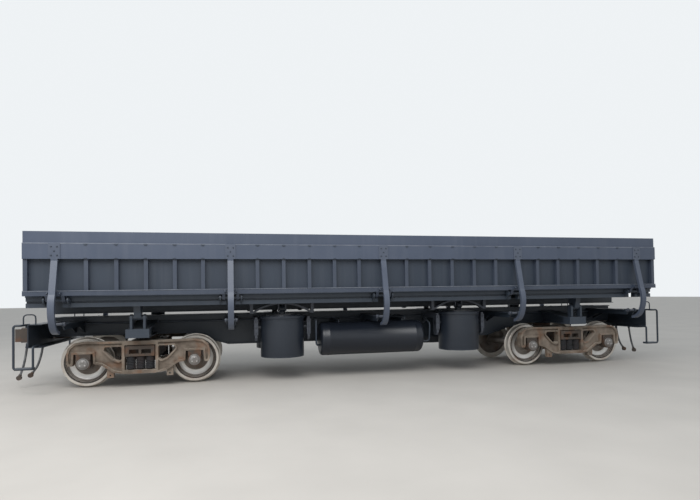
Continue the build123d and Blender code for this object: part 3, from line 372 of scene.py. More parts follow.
def box(low: Sequence[float], high: Sequence[float]) -> MeshData:
    """Rectangular bar between two corners."""
    a, b = np.asarray(low, float), np.asarray(high, float)
    corner = np.array([[i, j, k] for i in (0, 1) for j in (0, 1) for k in (0, 1)], float)
    faces = [(0, 1, 3, 2), (4, 6, 7, 5), (0, 4, 5, 1), (2, 3, 7, 6), (0, 2, 6, 4), (1, 5, 7, 3)]
    return a + corner * (b - a), faces


def carried(outline: Sequence[Pair], axis: Axis, start: float, end: float) -> MeshData:
    """Flat outline carried straight along an axis and capped at both ends.

    The outline's two numbers are the other two axes in X, Y, Z order.
    """
    flat = np.asarray(outline, float)
    count = len(flat)
    layers = [np.insert(flat, axis.value, along, axis=1) for along in (start, end)]
    ring = np.arange(count)
    after = (ring + 1) % count
    sides = np.stack([ring, after, after + count, ring + count], axis=-1).tolist()
    ends = [tuple(range(count))[::-1], tuple(range(count, 2 * count))]
    return np.concatenate(layers), sides + ends


HEAD_PROFILE = ((1.0, -0.2), (1.0, 0.75), (0.72, 1.0), (0.0001, 1.0))


def heads(centres: np.ndarray, axis: Axis, out: float, radius: float, height: float,
          sides: int = 6) -> MeshData:
    """Bolt heads or rivets: at each centre a low prism with a smaller crown, along an axis.

    Each ring of the head is the same polygon, scaled and raised by one pair of HEAD_PROFILE.

    Args:
        centres: Middle of each head's foot.
        axis: Axis that the heads stand along.
        out: -1 or 1, the way they stand along it.
        radius: Over the corners.
        height: From foot to crown.
        sides: Corners of the prism.

    Returns:
        Vertices and faces.
    """
    angle = circle(sides)
    rings = []
    for scale, rise in HEAD_PROFILE:
        flat = np.stack([np.cos(angle), np.sin(angle)], axis=-1) * radius * scale
        rings.append(np.insert(flat, axis.value, out * rise * height, axis=1))
    one = np.concatenate(rings)
    faces = grid_faces(len(HEAD_PROFILE), sides)
    return merged([(one + centre, faces) for centre in np.asarray(centres, float)])


@dataclass
class Palette:
    """All materials, made once and looked up by finish."""

    made: dict[str, bpy.types.Material] = field(default_factory=dict)

    def of(self, finish: Finish) -> bpy.types.Material:
        """The material of a finish."""
        if finish.name not in self.made:
            self.made[finish.name] = finish.material()
        return self.made[finish.name]


@dataclass
class Assembly:
    """A sub-assembly whose pieces take their finishes from the shared palette."""

    palette: Palette

    def add(self, name: str, parts: Iterable[MeshData], finish: Finish, body: str, slot: str,
            smooth_below: float = SMOOTH) -> bpy.types.Object:
        """Joins parts into one mesh object and hangs it on a body.

        Args:
            name: Piece name.
            parts: Vertices and faces of each part.
            finish: Finish of the whole piece.
            body: CAD body that it moves with.
            slot: Material slot name. Not used.
            smooth_below: Edges flatter than this many degrees are shaded smooth.

        Returns:
            The new object.
        """
        points, faces = merged(parts)
        mesh = bpy.data.meshes.new(name)
        mesh.from_pydata(points.tolist(), [], faces)
        work = bmesh.new()
        work.from_mesh(mesh)
        bmesh.ops.remove_doubles(work, verts=work.verts, dist=WELD)
        bmesh.ops.recalc_face_normals(work, faces=work.faces)
        work.to_mesh(mesh)
        work.free()
        mesh.shade_smooth()
        mesh.set_sharp_from_angle(angle=math.radians(smooth_below))
        mesh.materials.append(self.palette.of(finish))
        piece = bpy.data.objects.new(name, mesh)
        bpy.context.scene.collection.objects.link(piece)
        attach(piece, body)
        LOG.info("%s: %d vertices on %s", name, len(mesh.vertices), body)
        return piece


@dataclass
class CadDress:
    """Gives each CAD node its finish, by the first key that its name holds."""

    palette: Palette
    by_name: dict[str, Finish] = field(default_factory=lambda: {
        "gate_arms": ARM_PAINT, "cylinders": GEAR_PAINT, "air_reservoir": TANK_PAINT,
        "stage_1": GEAR_PAINT, "stage_2": ROD_STEEL, "rods": GEAR_PAINT, "arm_rollers": YOKE_PAINT,
        "gate_skin": SHADED_PANEL_PAINT, "gate_rail": RAIL_PAINT, "gate_ribs": RIB_PAINT,
        "end_walls": RIB_PAINT, "floor_deck": SHADED_PANEL_PAINT, "side_frames": CAST_RUST,
        "springs": SPRING_DARK, "bearings": CAST_DARK, "brake_beams": CAST_DARK,
        "wheelset": WEB_STEEL, "_bolster": CAST_DARK, "floor_side_sills": SILL_PAINT,
        "pivot_": SILL_PAINT, "couplers": CAST_DARK, "hose_stubs": GEAR_PAINT,
        "gate_hinges": SILL_PAINT, "rod_yokes": YOKE_PAINT, "cylinder_hangers": YOKE_PAINT,
        "hanger_beams": YOKE_PAINT, "truck_bearers": SILL_PAINT, "end_steps": FRAME_PAINT,
        "hose_left": HOSE_RUBBER, "hose_right": HOSE_RUBBER, "hose_head": CAST_DARK})

    def dress(self, nodes: dict[str, bpy.types.Object]) -> None:
        """Assigns materials to all nodes.

        Args:
            nodes: CAD objects by node name.
        """
        for name, node in nodes.items():
            finish = next((f for key, f in self.by_name.items() if key in name), FRAME_PAINT)
            materials = node.data.materials
            for index in range(len(materials)):
                materials[index] = self.palette.of(finish)
            if not materials:
                materials.append(self.palette.of(finish))


@dataclass
class Wheelsets(Assembly):
    """Four wheelsets with curved webs, bright rims and bolted end caps.

    Places across the rim and web count outwards from the flange's back face.
    """

    tread: float = 0.42
    flange: float = 0.448
    flange_round: Pair = (0.015, 0.016)
    flange_root: Outline = ((0.012, 0.034), (0.004, 0.04), (0.0, 0.052))
    tread_edge: Outline = ((0.004, 0.006), (0.01, 0.0))
    back: float = 0.6765
    rim_width: float = 0.135
    rim_inner: float = 0.345
    rim_lip: float = 0.004
    band_reach: Pair = (0.001, 0.026)
    band_bevel: float = 0.001
    film: float = 0.0012
    sunk: float = 0.003
    hub: float = 0.135
    hub_out: Outline = ((0.002, 0.118), (0.014, 0.138))
    hub_in: Outline = ((0.006, -0.02), (0.0, -0.01))
    web_place: float = 0.062
    web_bow: float = 0.03
    web_half: Pair = (0.011, 0.012)
    web_middle: float = 0.24
    web_span: float = 0.22
    sheen_reach: Pair = (0.31, 0.225)
    axle: float = 0.09
    waist: float = 0.082
    journal: float = 0.065
    axle_end: float = 1.07
    shoulder: Pair = (0.885, 0.87)
    cap_radius: float = 0.1
    cap_face: float = 1.106
    cap_rings: Outline = (
        (0.1, 0.026), (0.092, 0.019), (0.086, 0.019), (0.084, 0.026), (0.078, 0.026),
        (0.076, 0.008), (0.062, 0.001), (0.03, 0.001), (0.026, 0.006), (0.0, 0.006))
    journal_out: float = 1.068
    bolt_circle: float = 0.045
    bolt_foot: float = 0.012
    bolt_radius: float = 0.016
    bolt_height: float = 0.012

    @staticmethod
    def closed(section: Profile, side: float) -> Profile:
        """A section on one side of the wagon, with its first point repeated at the end."""
        return [(radius, side * along) for radius, along in section + section[:1]]

    def rim(self, side: float) -> Profile:
        """Closed rim section as (radius, Y): flange with round tip, coned tread, both faces."""
        back, out = self.back, self.back + self.rim_width
        rise, half = self.flange_round
        tip = [(self.flange - rise + rise * math.sin(a), back + half - half * math.cos(a))
               for a in np.linspace(0.0, math.pi, 9)]
        root = [(self.tread + over, back + along) for over, along in self.flange_root]
        edge = [(self.tread - under, out - inward) for under, inward in self.tread_edge]
        face = [(self.rim_inner + self.rim_lip, out), (self.rim_inner, out - self.rim_lip)]
        return self.closed([(self.rim_inner, back + 0.001)] + tip + root + edge + face, side)

    def band(self, side: float) -> Profile:
        """Closed section of the dark band on the inner edge of the rim's outer face."""
        out = self.back + self.rim_width
        foot, face = out - self.sunk, out + self.film
        low, high = (self.rim_inner + reach for reach in self.band_reach)
        return self.closed([(low, foot), (low + self.band_bevel, face),
                            (high - self.band_bevel, face), (high, foot)], side)

    def web(self, side: float) -> Profile:
        """Closed section of the dished web and hub as (radius, Y)."""
        radius = np.linspace(self.rim_inner + self.sunk, self.hub, 12)
        dish, thick = self.dish(radius)
        outer = [(r, c + t) for r, c, t in zip(radius, dish, thick)]
        inner = [(r, c - t) for r, c, t in zip(radius, dish, thick)][::-1]
        outward = [(self.hub - under, self.back + along) for under, along in self.hub_out]
        inward = [(self.hub - under, self.back + along) for under, along in self.hub_in]
        bore = [(self.axle, outward[-1][1]), (self.axle, inward[0][1])]
        return self.closed(outer + outward + bore + inward + inner, side)

    def dish(self, radius: np.ndarray) -> tuple[np.ndarray, np.ndarray]:
        """Middle plane and half thickness of the web at some radii.

        The middle plane bows inwards by half a sine wave between hub and rim. The half thickness
        grows with the square of the distance from the middle radius.
        """
        share = (radius - self.hub) / (self.rim_inner - self.hub)
        middle = self.back + self.web_place - self.web_bow * np.sin(share * math.pi)
        least, growth = self.web_half
        return middle, least + growth * (2 * (radius - self.web_middle) / self.web_span) ** 2

    def painted_sheen_ring(self, side: float) -> Profile:
        """Closed section of a near-white ring that follows the web's outer face: a painted
        reflection of the sky in the dish.
        """
        radius = np.linspace(*self.sheen_reach, 8)
        middle, half = self.dish(radius)
        face = middle + half
        section = [(r, f + self.film) for r, f in zip(radius, face)]
        section += [(r, f - self.sunk) for r, f in zip(radius[::-1], face[::-1])]
        return self.closed(section, side)

    def shaft(self) -> Profile:
        """Axle outline as (radius, Y): journals, shoulders and a slightly waisted middle."""
        outer, inner = self.shoulder
        half = [(0.0, self.axle_end), (self.journal, self.axle_end), (self.journal, outer),
                (self.axle, inner)]
        return [(r, -y) for r, y in half] + [(self.waist, 0.0)] + half[::-1]

    @staticmethod
    def pair(section: Callable[[float], Profile], at: Point, segments: int = 96) -> list[MeshData]:
        """The turned forms of both wheels from a section that takes the side."""
        return [turned(section(side), Axis.Y, at, segments) for side in BOTH]

    def build(self) -> None:
        """Makes all four wheelsets."""
        for tag, centre in TRUCK_CENTRES.items():
            for number, step in ((1, -WHEELBASE / 2), (2, WHEELBASE / 2)):
                self.wheelset(f"wheelset_{tag}{number}", (centre + step, 0.0, AXLE_Z))

    def wheelset(self, body: str, at: Point) -> None:
        """Makes rims, dark bands, rings of painted reflection on the webs, webs with the axle, end
        caps and cap bolts.

        Args:
            body: CAD body of the wheelset.
            at: Middle of its axle.
        """
        steel, axle = "wheel_steel", turned(self.shaft(), Axis.Y, at, 32)
        self.add(f"{body}_bands", self.pair(self.band, at), BAND_DARK, body, steel)
        # Near-white rings on the webs: painted reflection of the sky in the dish.
        self.add(f"{body}_painted_sheen_rings", self.pair(self.painted_sheen_ring, at), WEB_SHEEN_PAINT, body, steel)
        rim_piece = self.add(f"{body}_rims", self.pair(self.rim, at), RIM_BRIGHT, body, steel)
        self.add(f"{body}_webs", self.pair(self.web, at, 72) + [axle], WEB_STEEL, body, steel)
        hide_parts(body)
        self.caps(body, at)

    def caps(self, body: str, at: Point) -> None:
        """End caps with a raised ring and three bolts, a third of a turn apart."""
        parts, bolts = [], []
        cap = [(0.0, self.journal_out), (self.cap_radius, self.journal_out + 0.002)]
        cap += [(radius, self.cap_face - depth) for radius, depth in self.cap_rings]
        angle = np.array([0.5, 7 / 6, 11 / 6]) * math.pi
        for side in BOTH:
            parts.append(turned([(r, side * along) for r, along in cap], Axis.Y, at, 40))
            foot = np.full(3, side * (self.cap_face - self.bolt_foot))
            spots = np.stack([np.cos(angle) * self.bolt_circle, foot,
                              np.sin(angle) * self.bolt_circle], axis=-1) + np.asarray(at)
            bolts.append(heads(spots, Axis.Y, side, self.bolt_radius, self.bolt_height))
        self.add(f"{body}_caps", parts, CAP_STEEL, body, "wheel_steel")
        self.add(f"{body}_cap_bolts", bolts, BOLT_STEEL, body, "wheel_steel", FACETED)


@dataclass
class SpringNests(Assembly):
    """Coil springs in each side frame's window.

    Each size is a coil's radius, its bar's radius and its number of turns.
    """

    sizes: tuple[tuple[float, ...], ...] = ((0.0645, 0.0138, 8.2), (0.034, 0.01, 10.4))
    steps_per_turn: int = 18
    end_closing: float = 0.02
    pitch: float = 0.157
    base: float = RAIL + 0.281
    top: float = RAIL + 0.52
    rows: float = 0.978

    def helix(self, x: float, y: float, coil: float, bar: float, turns: float) -> MeshData:
        """Bar along a helix whose turns lie a little closer together at both ends.

        Height follows the turn angle less a small sine wave of it, so the end turns close up as
        ground coils do.
        """
        turn = np.linspace(0.0, 1.0, int(turns * self.steps_per_turn))
        eased = turn - self.end_closing * np.sin(TURN * turn)
        low, high = self.base + bar, self.top - bar
        angle = TURN * turns * turn
        path = np.stack([x + coil * np.cos(angle), y + coil * np.sin(angle),
                         low + (high - low) * eased], axis=-1)
        return swept(path, bar, 8)

    def build(self) -> None:
        """Makes one joined piece of coils for each truck."""
        for tag, centre in TRUCK_CENTRES.items():
            coils = [self.helix(centre + k * self.pitch, side * self.rows, *size)
                     for side in BOTH for k in (-1, 0, 1) for size in self.sizes]
            piece = self.add(f"truck_{tag}_coils", coils, SPRING_DARK, f"truck_{tag}",
                             "cast_rust", ROUND)
            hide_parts(f"truck_{tag}_springs")


@dataclass
class TippingGear(Assembly):
    """Cylinders, lid bolts and the air reservoir as smooth round forms.

    The outline pairs of a cylinder are offsets: base and band from the wall's radius, lid edge
    from the lid's, each with the height over the bottom or the top. The neck's radii are whole.
    """

    radius: float = 0.406
    lid: float = 0.425
    bottom: float = RAIL + 0.404
    top: float = RAIL + 1.16
    base_outline: Outline = ((-0.03, -0.001), (-0.008, 0.006), (0.0, 0.03))
    band_outline: Outline = ((0.0, -0.075), (0.006, -0.072), (0.006, -0.05))
    lid_outline: Outline = ((-0.003, -0.045), (0.0, -0.04), (0.0, -0.006), (-0.006, 0.001))
    neck_outline: Outline = ((0.345, 0.001), (0.34, 0.014), (0.331, 0.014))
    bolt_count: int = 20
    bolt_circle: float = 0.382
    bolt_radius: float = 0.015
    bolt_height: float = 0.016
    tank_radius: float = 0.315
    tank_half: float = 1.01
    tank_dish: float = 0.06
    seam_at: float = -0.86
    seam_outline: Outline = ((0.0, 0.0), (0.002, 0.003), (0.002, 0.013), (0.0, 0.016))

    def can(self, at: Point) -> MeshData:
        """Outer wall with its base curl, band and lid, as one turned skin over the CAD tube."""
        wall = [(0.0, self.bottom + self.base_outline[0][1])]
        for outline, radius, level in ((self.base_outline, self.radius, self.bottom),
                                       (self.band_outline, self.radius, self.top),
                                       (self.lid_outline, self.lid, self.top),
                                       (self.neck_outline, 0.0, self.top)):
            wall += [(radius + out, level + up) for out, up in outline]
        return turned(wall, Axis.Z, at, 96)

    def tank(self) -> Profile:
        """Reservoir outline as (radius, X): two elliptical heads with a weld seam beside each."""
        bend = np.linspace(0.0, math.pi / 2, 8)
        straight, dish = self.tank_radius - self.tank_dish, self.tank_dish
        head = [(straight + dish * math.sin(a), -self.tank_half + dish * (1 - math.cos(a)))
                for a in bend]
        seam = [(self.tank_radius + out, self.seam_at + along) for out, along in self.seam_outline]
        left = [(0.0, -self.tank_half)] + head + seam
        return left + [(radius, -x) for radius, x in reversed(left)]

    def build(self) -> None:
        """Makes the skins, lid bolts and the reservoir."""
        boxes = {name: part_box(f"{name}_cylinders") for name in SIDES}
        angle = circle(self.bolt_count)
        for name, (low, high) in boxes.items():
            y = (low.y + high.y) / 2
            skins, bolts = [], []
            for x in CYLINDER_XS:
                skins.append(self.can((x, y, 0.0)))
                spots = np.stack([x + self.bolt_circle * np.cos(angle),
                                  y + self.bolt_circle * np.sin(angle),
                                  np.full(self.bolt_count, self.top)], axis=-1)
                bolts.append(heads(spots, Axis.Z, 1.0, self.bolt_radius, self.bolt_height))
            body = f"{name}_cylinders"
            self.add(f"{name}_cylinder_skins", skins, GEAR_PAINT, body, "frame_paint")
            self.add(f"{name}_lid_bolts", bolts, GEAR_PAINT, body, "frame_paint", FACETED)
        low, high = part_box("air_reservoir")
        axis = ((low.x + high.x) / 2, (low.y + high.y) / 2, (low.z + high.z) / 2)
        tank = self.add("reservoir_shell", [turned(self.tank(), Axis.X, axis, 96)], TANK_PAINT,
                        "underframe", "frame_paint")
        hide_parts("air_reservoir")


@dataclass
class GateTrim(Assembly):
    """Rivets on the arm pads, pale painted highlight strips on the ledges, rib lips, gussets and
    the far gate's fillet.
    """

    rail_out: float = 1.617
    pad: float = 0.01
    half_box: float = 5.943
    belt_bottom: float = RAIL + 2.183
    ledge: float = RAIL + 2.434
    flange_top: float = RAIL + 1.67
    flange_bottom: float = RAIL + 1.59
    arm_half: float = 0.049
    skin_in: float = 1.505
    deck_top: float = RAIL + 1.58
    deck_half: float = 5.851
    cross_half: Pair = (0.045, 0.07)
    rivet_radius: float = 0.013
    rivet_height: float = 0.01
    lip_sunk: float = 0.004
    ledge_strip: float = 0.007
    flange_strip: float = 0.006
    strip_out: float = 0.002
    gusset_gap: float = 0.045
    gusset_half: float = 0.008
    gusset_reach: float = 0.085
    fillet_leg: float = 0.027
    overlap: float = 0.001

    def lips(self, side: float) -> list[MeshData]:
        """Small caps where each rib meets the belt, and tacks under the ledge above them."""
        kinds = ((0.03, self.belt_bottom + 0.016, self.belt_bottom + 0.002),
                 (0.032, self.ledge - 0.03, self.ledge - 0.006))
        inner, outer = side * (self.rail_out - self.lip_sunk), side * (self.rail_out + self.pad)
        parts = []
        for x in RIB_XS:
            for half, low, high in kinds:
                notch = [(x - half, high), (x - half * 0.5, low), (x + half * 0.5, low),
                         (x + half, high)]
                parts.append(carried(notch, Axis.Y, inner, outer))
        return parts

    def beads(self, side: float) -> list[MeshData]:
        """Thin pale strips along the ledge and the top of the lower flange: painted highlight where
        these edges catch the light.
        """
        parts = []
        for z, thick in ((self.ledge, self.ledge_strip), (self.flange_top, self.flange_strip)):
            ys = sorted((side * (self.rail_out - thick), side * (self.rail_out + self.strip_out)))
            parts.append(box((-self.half_box, ys[0], z - thick),
                             (self.half_box, ys[1], z + self.strip_out)))
        return parts

    def gussets(self, side: float) -> list[MeshData]:
        """Triangular plates beside each arm, from the lower flange out towards the arm."""
        sunk = 0.002
        foot = side * (self.rail_out - sunk)
        outline = [(foot, self.flange_top - sunk), (foot, self.flange_bottom + 0.004),
                   (side * (self.rail_out + self.gusset_reach), self.flange_bottom + 0.03)]
        places = [x + s * (self.arm_half + self.gusset_gap) for x in ARM_XS for s in BOTH]
        return [carried(outline, Axis.X, at - self.gusset_half, at + self.gusset_half)
                for at in places]

    def fillet(self) -> MeshData:
        """Three-cornered strip that closes the seam between the deck and the fixed far gate."""
        inner, foot = self.skin_in + self.overlap, self.deck_top - self.overlap
        outline = [(inner - self.fillet_leg, foot), (inner, foot), (inner, foot + self.fillet_leg)]
        return carried(outline, Axis.X, -self.deck_half, self.deck_half)

    def rivets(self, side: float) -> MeshData:
        """Five rivets on each arm's pad: one in the middle and one near each corner."""
        across, up = self.cross_half
        cross = np.array([(0, 0), (-across, -up), (across, -up), (-across, up), (across, up)])
        middle = (self.belt_bottom + self.ledge) / 2
        face = np.full(len(cross), side * (self.rail_out + self.pad))
        spots = [np.stack([x + cross[:, 0], face, middle + cross[:, 1]], axis=-1) for x in ARM_XS]
        return heads(np.concatenate(spots), Axis.Y, side, self.rivet_radius, self.rivet_height, 10)

    def build(self) -> None:
        """Makes the trim of the near and the far gate."""
        slot = "box_paint"
        # The fillet, pad rivets and rib lips take the darker panel paint, which carries painted
        # shade.
        self.add("far_deck_fillet", [self.fillet()], SHADED_PANEL_PAINT, "load_box", slot)
        for name, side in SIDES.items():
            body = "near_gate" if name == "near" else "load_box"
            self.add(f"{name}_pad_rivets", [self.rivets(side)], SHADED_PANEL_PAINT, body, slot, ROUND)
            self.add(f"{name}_rib_lips", self.lips(side), SHADED_PANEL_PAINT, body, slot)
            # Pale strips along the ledges: painted highlight.
            self.add(f"{name}_highlight_edges", self.beads(side), EDGE_HIGHLIGHT_PAINT, body, slot)
            self.add(f"{name}_arm_gussets", self.gussets(side), RIB_PAINT, body, slot)


@dataclass
class AirHoses(Assembly):
    """Two hanging air hoses at each end, along the routes of the solids.

    Each route is its Y and points of distance beyond the end sill's face and height.
    """

    sill_face: float = 5.979
    radius: float = 0.02
    arc_share: float = 0.45
    arc_steps: int = 9
    sides: int = 14
    step: float = 0.004
    rib_pitch: float = 0.012
    rib_depth: float = 0.05
    routes: dict[str, tuple[float, Profile]] = field(default_factory=lambda: {
        "brake": (-0.3, [(0.104, 0.69), (0.124, 0.574), (0.154, 0.455), (0.195, 0.343),
                         (0.263, 0.25)]),
        "tipping": (-0.47, [(0.3, 0.705), (0.316, 0.588), (0.337, 0.468), (0.364, 0.351),
                            (0.403, 0.243)])})

    def rounded(self, points: np.ndarray) -> np.ndarray:
        """Straight runs joined by arcs, each arc swept from one tangent point to the next.

        An arc reaches a fixed share of the shorter run to each side of its corner, so its radius is
        that reach over the tangent of half the turn.
        """
        path = [points[:1]]
        for before, corner, after in zip(points[:-2], points[1:-1], points[2:]):
            lengths = np.linalg.norm(corner - before), np.linalg.norm(after - corner)
            come, leave = (corner - before) / lengths[0], (after - corner) / lengths[1]
            turn = math.acos(float(np.clip(come @ leave, -1.0, 1.0)))
            reach = self.arc_share * min(lengths)
            bend = reach / math.tan(turn / 2)
            inward = leave - come * float(come @ leave)
            inward /= np.linalg.norm(inward)
            first = corner - come * reach
            angle = np.linspace(0.0, turn, self.arc_steps)[:, None]
            path.append(first + inward * bend * (1 - np.cos(angle)) + come * bend * np.sin(angle))
        path.append(points[-1:])
        return np.concatenate(path)

    def ribbed(self, path: np.ndarray) -> MeshData:
        """The hose as a tube whose radius dips by a cosine wave, one wave to each rib's pitch."""
        run = np.linalg.norm(np.diff(path, axis=0), axis=1)
        reached = np.concatenate([[0.0], np.cumsum(run)])
        even = np.linspace(0.0, reached[-1], int(reached[-1] / self.step))
        fine = np.stack([np.interp(even, reached, path[:, k]) for k in range(3)], axis=-1)
        points, faces = swept(fine, self.radius, self.sides)
        rings = points.reshape(len(fine), self.sides, 3)
        ripple = 1.0 - self.rib_depth * (0.5 + 0.5 * np.cos(even / self.rib_pitch * TURN))
        rings = fine[:, None, :] + (rings - fine[:, None, :]) * ripple[:, None, None]
        return rings.reshape(-1, 3), faces

    def build(self) -> None:
        for end, sign in (("left", -1.0), ("right", 1.0)):
            for kind, (y, route) in self.routes.items():
                places = [(sign * (self.sill_face + x), y, z) for x, z in route]
                path = self.rounded(np.array(places))
                hose = self.add(f"{end}_{kind}_air_hose", [self.ribbed(path)], HOSE_RUBBER,
                                "underframe", "hose_rubber", ROUND)
                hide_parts(f"hose_{end}_{kind}")


@dataclass
class Pipework(Assembly):
    """Air pipes, face plates on the cylinder hangers and a loop at each corner.

    The routes are the pipes' corner points: two along the sill, then three from the reservoir.
    """

    routes: tuple[tuple[Point, ...], ...] = (
        ((-5.9, -0.245, 1.1), (5.9, -0.245, 1.1)),
        ((-5.9, 0.245, 1.1), (5.9, 0.245, 1.1)),
        ((-1.18, -0.7, 1.1), (-1.18, -1.06, 1.1), (-1.18, -1.06, 0.62), (-1.07, -0.94, 0.62)),
        ((0.62, -0.94, 1.02), (0.62, -0.94, 1.13), (0.62, -0.3, 1.13)),
        ((0.9, -0.94, 0.62), (1.12, -0.98, 0.62), (1.12, -1.02, 0.98), (1.12, -0.6, 1.1)))
    pipe_radius: float = 0.017
    pipe_bend: float = 0.06
    plate_from_cylinder: float = 0.49
    plate_y: float = 0.975
    plate_half: float = 0.036
    plate_thick: Pair = (0.004, 0.012)
    plate_z: Pair = (0.84, 1.13)
    bolt_zs: tuple[float, ...] = (0.88, 0.978, 1.09)
    bolt_radius: float = 0.019
    bolt_height: float = 0.016
    loop_x: float = 5.92
    loop_y: float = 1.37
    loop_half: float = 0.09
    loop_z: Pair = (1.15, 1.32)
    loop_radius: float = 0.011

    def pipe(self, points: Sequence[Point], radius: float) -> MeshData:
        """Round bar along a chain of points, with a quadratic Bezier curve at each corner."""
        corner = np.asarray(points, float)
        path = [corner[0]]
        for before, at, after in zip(corner[:-2], corner[1:-1], corner[2:]):
            first, last = (at + (end - at) / np.linalg.norm(end - at) * self.pipe_bend
                           for end in (before, after))
            path += [(1 - share) ** 2 * first + 2 * share * (1 - share) * at + share ** 2 * last
                     for share in (0.0, 0.33, 0.67, 1.0)]
        path.append(corner[-1])
        return swept(np.array(path), radius, 10)

    def plates(self) -> tuple[list[MeshData], list[MeshData]]:
        """Face plates on both sides of each hanger, and their bolts."""
        plates, bolts = [], []
        under, over = self.plate_thick
        low, high = self.plate_z
        for at in (x + side * self.plate_from_cylinder for x in CYLINDER_XS for side in BOTH):
            for y_side in BOTH:
                face = y_side * self.plate_y
                ys = sorted((face - y_side * under, face + y_side * over))
                plates.append(box((at - self.plate_half, ys[0], low),
                                  (at + self.plate_half, ys[1], high)))
                spots = np.array([(at, face + y_side * over, z) for z in self.bolt_zs])
                bolts.append(heads(spots, Axis.Y, y_side, self.bolt_radius, self.bolt_height))
        return plates, bolts

    def loop(self, x_side: float, y_side: float) -> MeshData:
        """Bent rod that stands at one corner of the underframe."""
        x, y = x_side * self.loop_x, y_side * self.loop_y
        near, far = x - x_side * self.loop_half, x + x_side * self.loop_half
        low, high = self.loop_z
        return self.pipe([(near, y, low), (near, y, high), (far, y, high), (far, y, low)],
                         self.loop_radius)

    def build(self) -> None:
        """Makes the pipes, the corner loops and the bolted plates on the cylinder hangers."""
        pipes = [self.pipe(route, self.pipe_radius) for route in self.routes]
        loops = [self.loop(x_side, y_side) for x_side in BOTH for y_side in BOTH]
        plates, bolts = self.plates()
        for name, parts, finish, smooth_below in (
                ("air_pipes", pipes, SILL_PAINT, ROUND),
                ("corner_loops", loops, FRAME_PAINT, ROUND),
                ("hanger_plates", plates, YOKE_PAINT, SMOOTH),
                ("hanger_bolts", bolts, YOKE_PAINT, FACETED)):
            self.add(name, parts, finish, "underframe", "frame_paint", smooth_below)


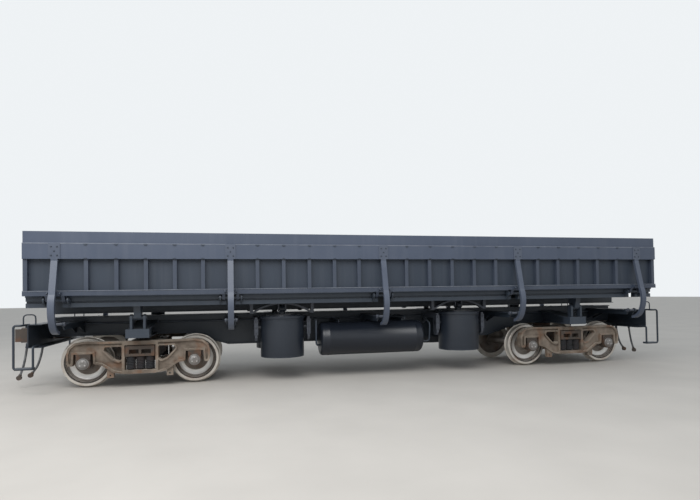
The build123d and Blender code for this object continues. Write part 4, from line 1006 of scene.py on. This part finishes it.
@dataclass
class Studio:
    """Pale floor and sky, one broad lamp and the camera at the photograph's place.

    The camera's angles are in degrees and its focal length in pixels of the photograph.
    """

    eye: Point = (-2.707, -10.579, 1.549 + RAIL)
    yaw: float = 12.99
    pitch: float = 1.03
    roll: float = -0.85
    focal_pixels: float = 508.6
    frame_width: float = 700.0
    principal_drop: float = 35.0
    sensor: float = 36.0
    clip_end: float = 400.0
    sky: Colour = (0.86, 0.89, 0.91)
    daylight: Colour = (0.86, 0.93, 1.0)
    daylight_strength: float = 0.62
    lamp_size: Pair = (16.0, 7.0)
    lamp_energy: float = 1250.0
    lamp_at: Point = (-6.5, -8.5, 9.0)
    lamp_aim: Point = (-1.5, 0.0, 1.4)
    concrete: Colour = (0.57, 0.535, 0.49)
    concrete_tones: Pair = (0.9, 1.1)
    concrete_scale: float = 0.9
    concrete_detail: float = 10.0
    concrete_roughness: float = 0.9
    floor_reach: float = 90.0

    def camera(self) -> None:
        """Sets a camera whose axes come from the yaw, pitch and roll in turn."""
        yaw, pitch, roll = (math.radians(v) for v in (self.yaw, self.pitch, self.roll))
        right = Vector((math.cos(yaw), -math.sin(yaw), 0.0))
        ahead = Vector((math.sin(yaw) * math.cos(pitch), math.cos(yaw) * math.cos(pitch),
                        math.sin(pitch)))
        up = right.cross(ahead)
        rolled = right * math.cos(roll) + up * math.sin(roll)
        risen = up * math.cos(roll) - right * math.sin(roll)
        lens = bpy.data.cameras.new("photo_view")
        lens.sensor_width = self.sensor
        lens.lens = self.focal_pixels / self.frame_width * self.sensor
        lens.shift_y = self.principal_drop / self.frame_width
        lens.clip_end = self.clip_end
        eye = bpy.data.objects.new("photo_view", lens)
        turn = Matrix((rolled, risen, -ahead)).transposed().to_4x4()
        eye.matrix_world = Matrix.Translation(self.eye) @ turn
        bpy.context.scene.collection.objects.link(eye)
        bpy.context.scene.camera = eye

    def world(self) -> None:
        """A pale even sky for light, and a brighter one for the eye and for reflections."""
        world = bpy.data.worlds.new("sky")
        bpy.context.scene.world = world
        world.use_nodes = True
        graph = Graph(world.node_tree)
        graph.tree.nodes.clear()
        path = graph.node("LightPath").outputs
        seen_by = path["Is Camera Ray"]
        for ray in ("Is Glossy Ray", "Is Transmission Ray"):
            both = graph.node("Math", {0: seen_by, 1: path[ray]}, operation="ADD", use_clamp=True)
            seen_by = both.outputs[0]
        dim = graph.node("Background", {
            "Color": (*self.daylight, 1.0), "Strength": self.daylight_strength})
        seen = graph.node("Background", {"Color": (*self.sky, 1.0)})
        mix = graph.node("MixShader", {"Fac": seen_by, 1: dim.outputs[0], 2: seen.outputs[0]})
        graph.node("OutputWorld", {"Surface": mix.outputs[0]})

    def lamp(self) -> None:
        """A soft lamp above the near side, turned towards the wagon."""
        lamp = bpy.data.lights.new("soft_lamp", "AREA")
        lamp.shape = "RECTANGLE"
        lamp.size, lamp.size_y = self.lamp_size
        lamp.energy = self.lamp_energy
        place = bpy.data.objects.new("soft_lamp", lamp)
        place.location = self.lamp_at
        towards = Vector(self.lamp_aim) - Vector(place.location)
        place.rotation_euler = towards.to_track_quat("-Z", "Y").to_euler()
        bpy.context.scene.collection.objects.link(place)

    def floor(self) -> None:
        """A wide pale slab at the flange tips."""
        material = bpy.data.materials.new("concrete")
        material.use_nodes = True
        graph = Graph(material.node_tree)
        noise = graph.node("TexNoise", {
            "Vector": graph.node("TexCoord").outputs["Object"], "Scale": self.concrete_scale,
            "Detail": self.concrete_detail})
        dark, pale = (tuple(c * tone for c in self.concrete) for tone in self.concrete_tones)
        shader = graph.tree.nodes["Principled BSDF"]
        colour = graph.mix(noise.outputs["Fac"], dark, pale)
        graph.tree.links.new(colour, shader.inputs["Base Color"])
        shader.inputs["Roughness"].default_value = self.concrete_roughness
        reach = self.floor_reach
        mesh = bpy.data.meshes.new("floor")
        mesh.from_pydata([(-reach, -reach, 0), (reach, -reach, 0), (reach, reach, 0),
                          (-reach, reach, 0)], [], [(0, 1, 2, 3)])
        mesh.materials.append(material)
        slab = bpy.data.objects.new("floor", mesh)
        bpy.context.scene.collection.objects.link(slab)

    def build(self) -> None:
        """Sets the view transform, floor, light and camera."""
        bpy.context.scene.view_settings.view_transform = "Standard"
        self.floor()
        self.world()
        self.lamp()
        self.camera()


def main() -> None:
    """Loads the frame, dresses it, adds the round forms and trim, and sets the studio."""
    logging.basicConfig(level=logging.INFO, format="%(name)s: %(message)s")
    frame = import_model()
    palette = Palette()
    CadDress(palette).dress(frame["nodes"])
    for assembly in (Wheelsets(palette), SpringNests(palette), TippingGear(palette),
                     GateTrim(palette), AirHoses(palette), Pipework(palette), Studio()):
        assembly.build()


if __name__ == "__main__":
    main()
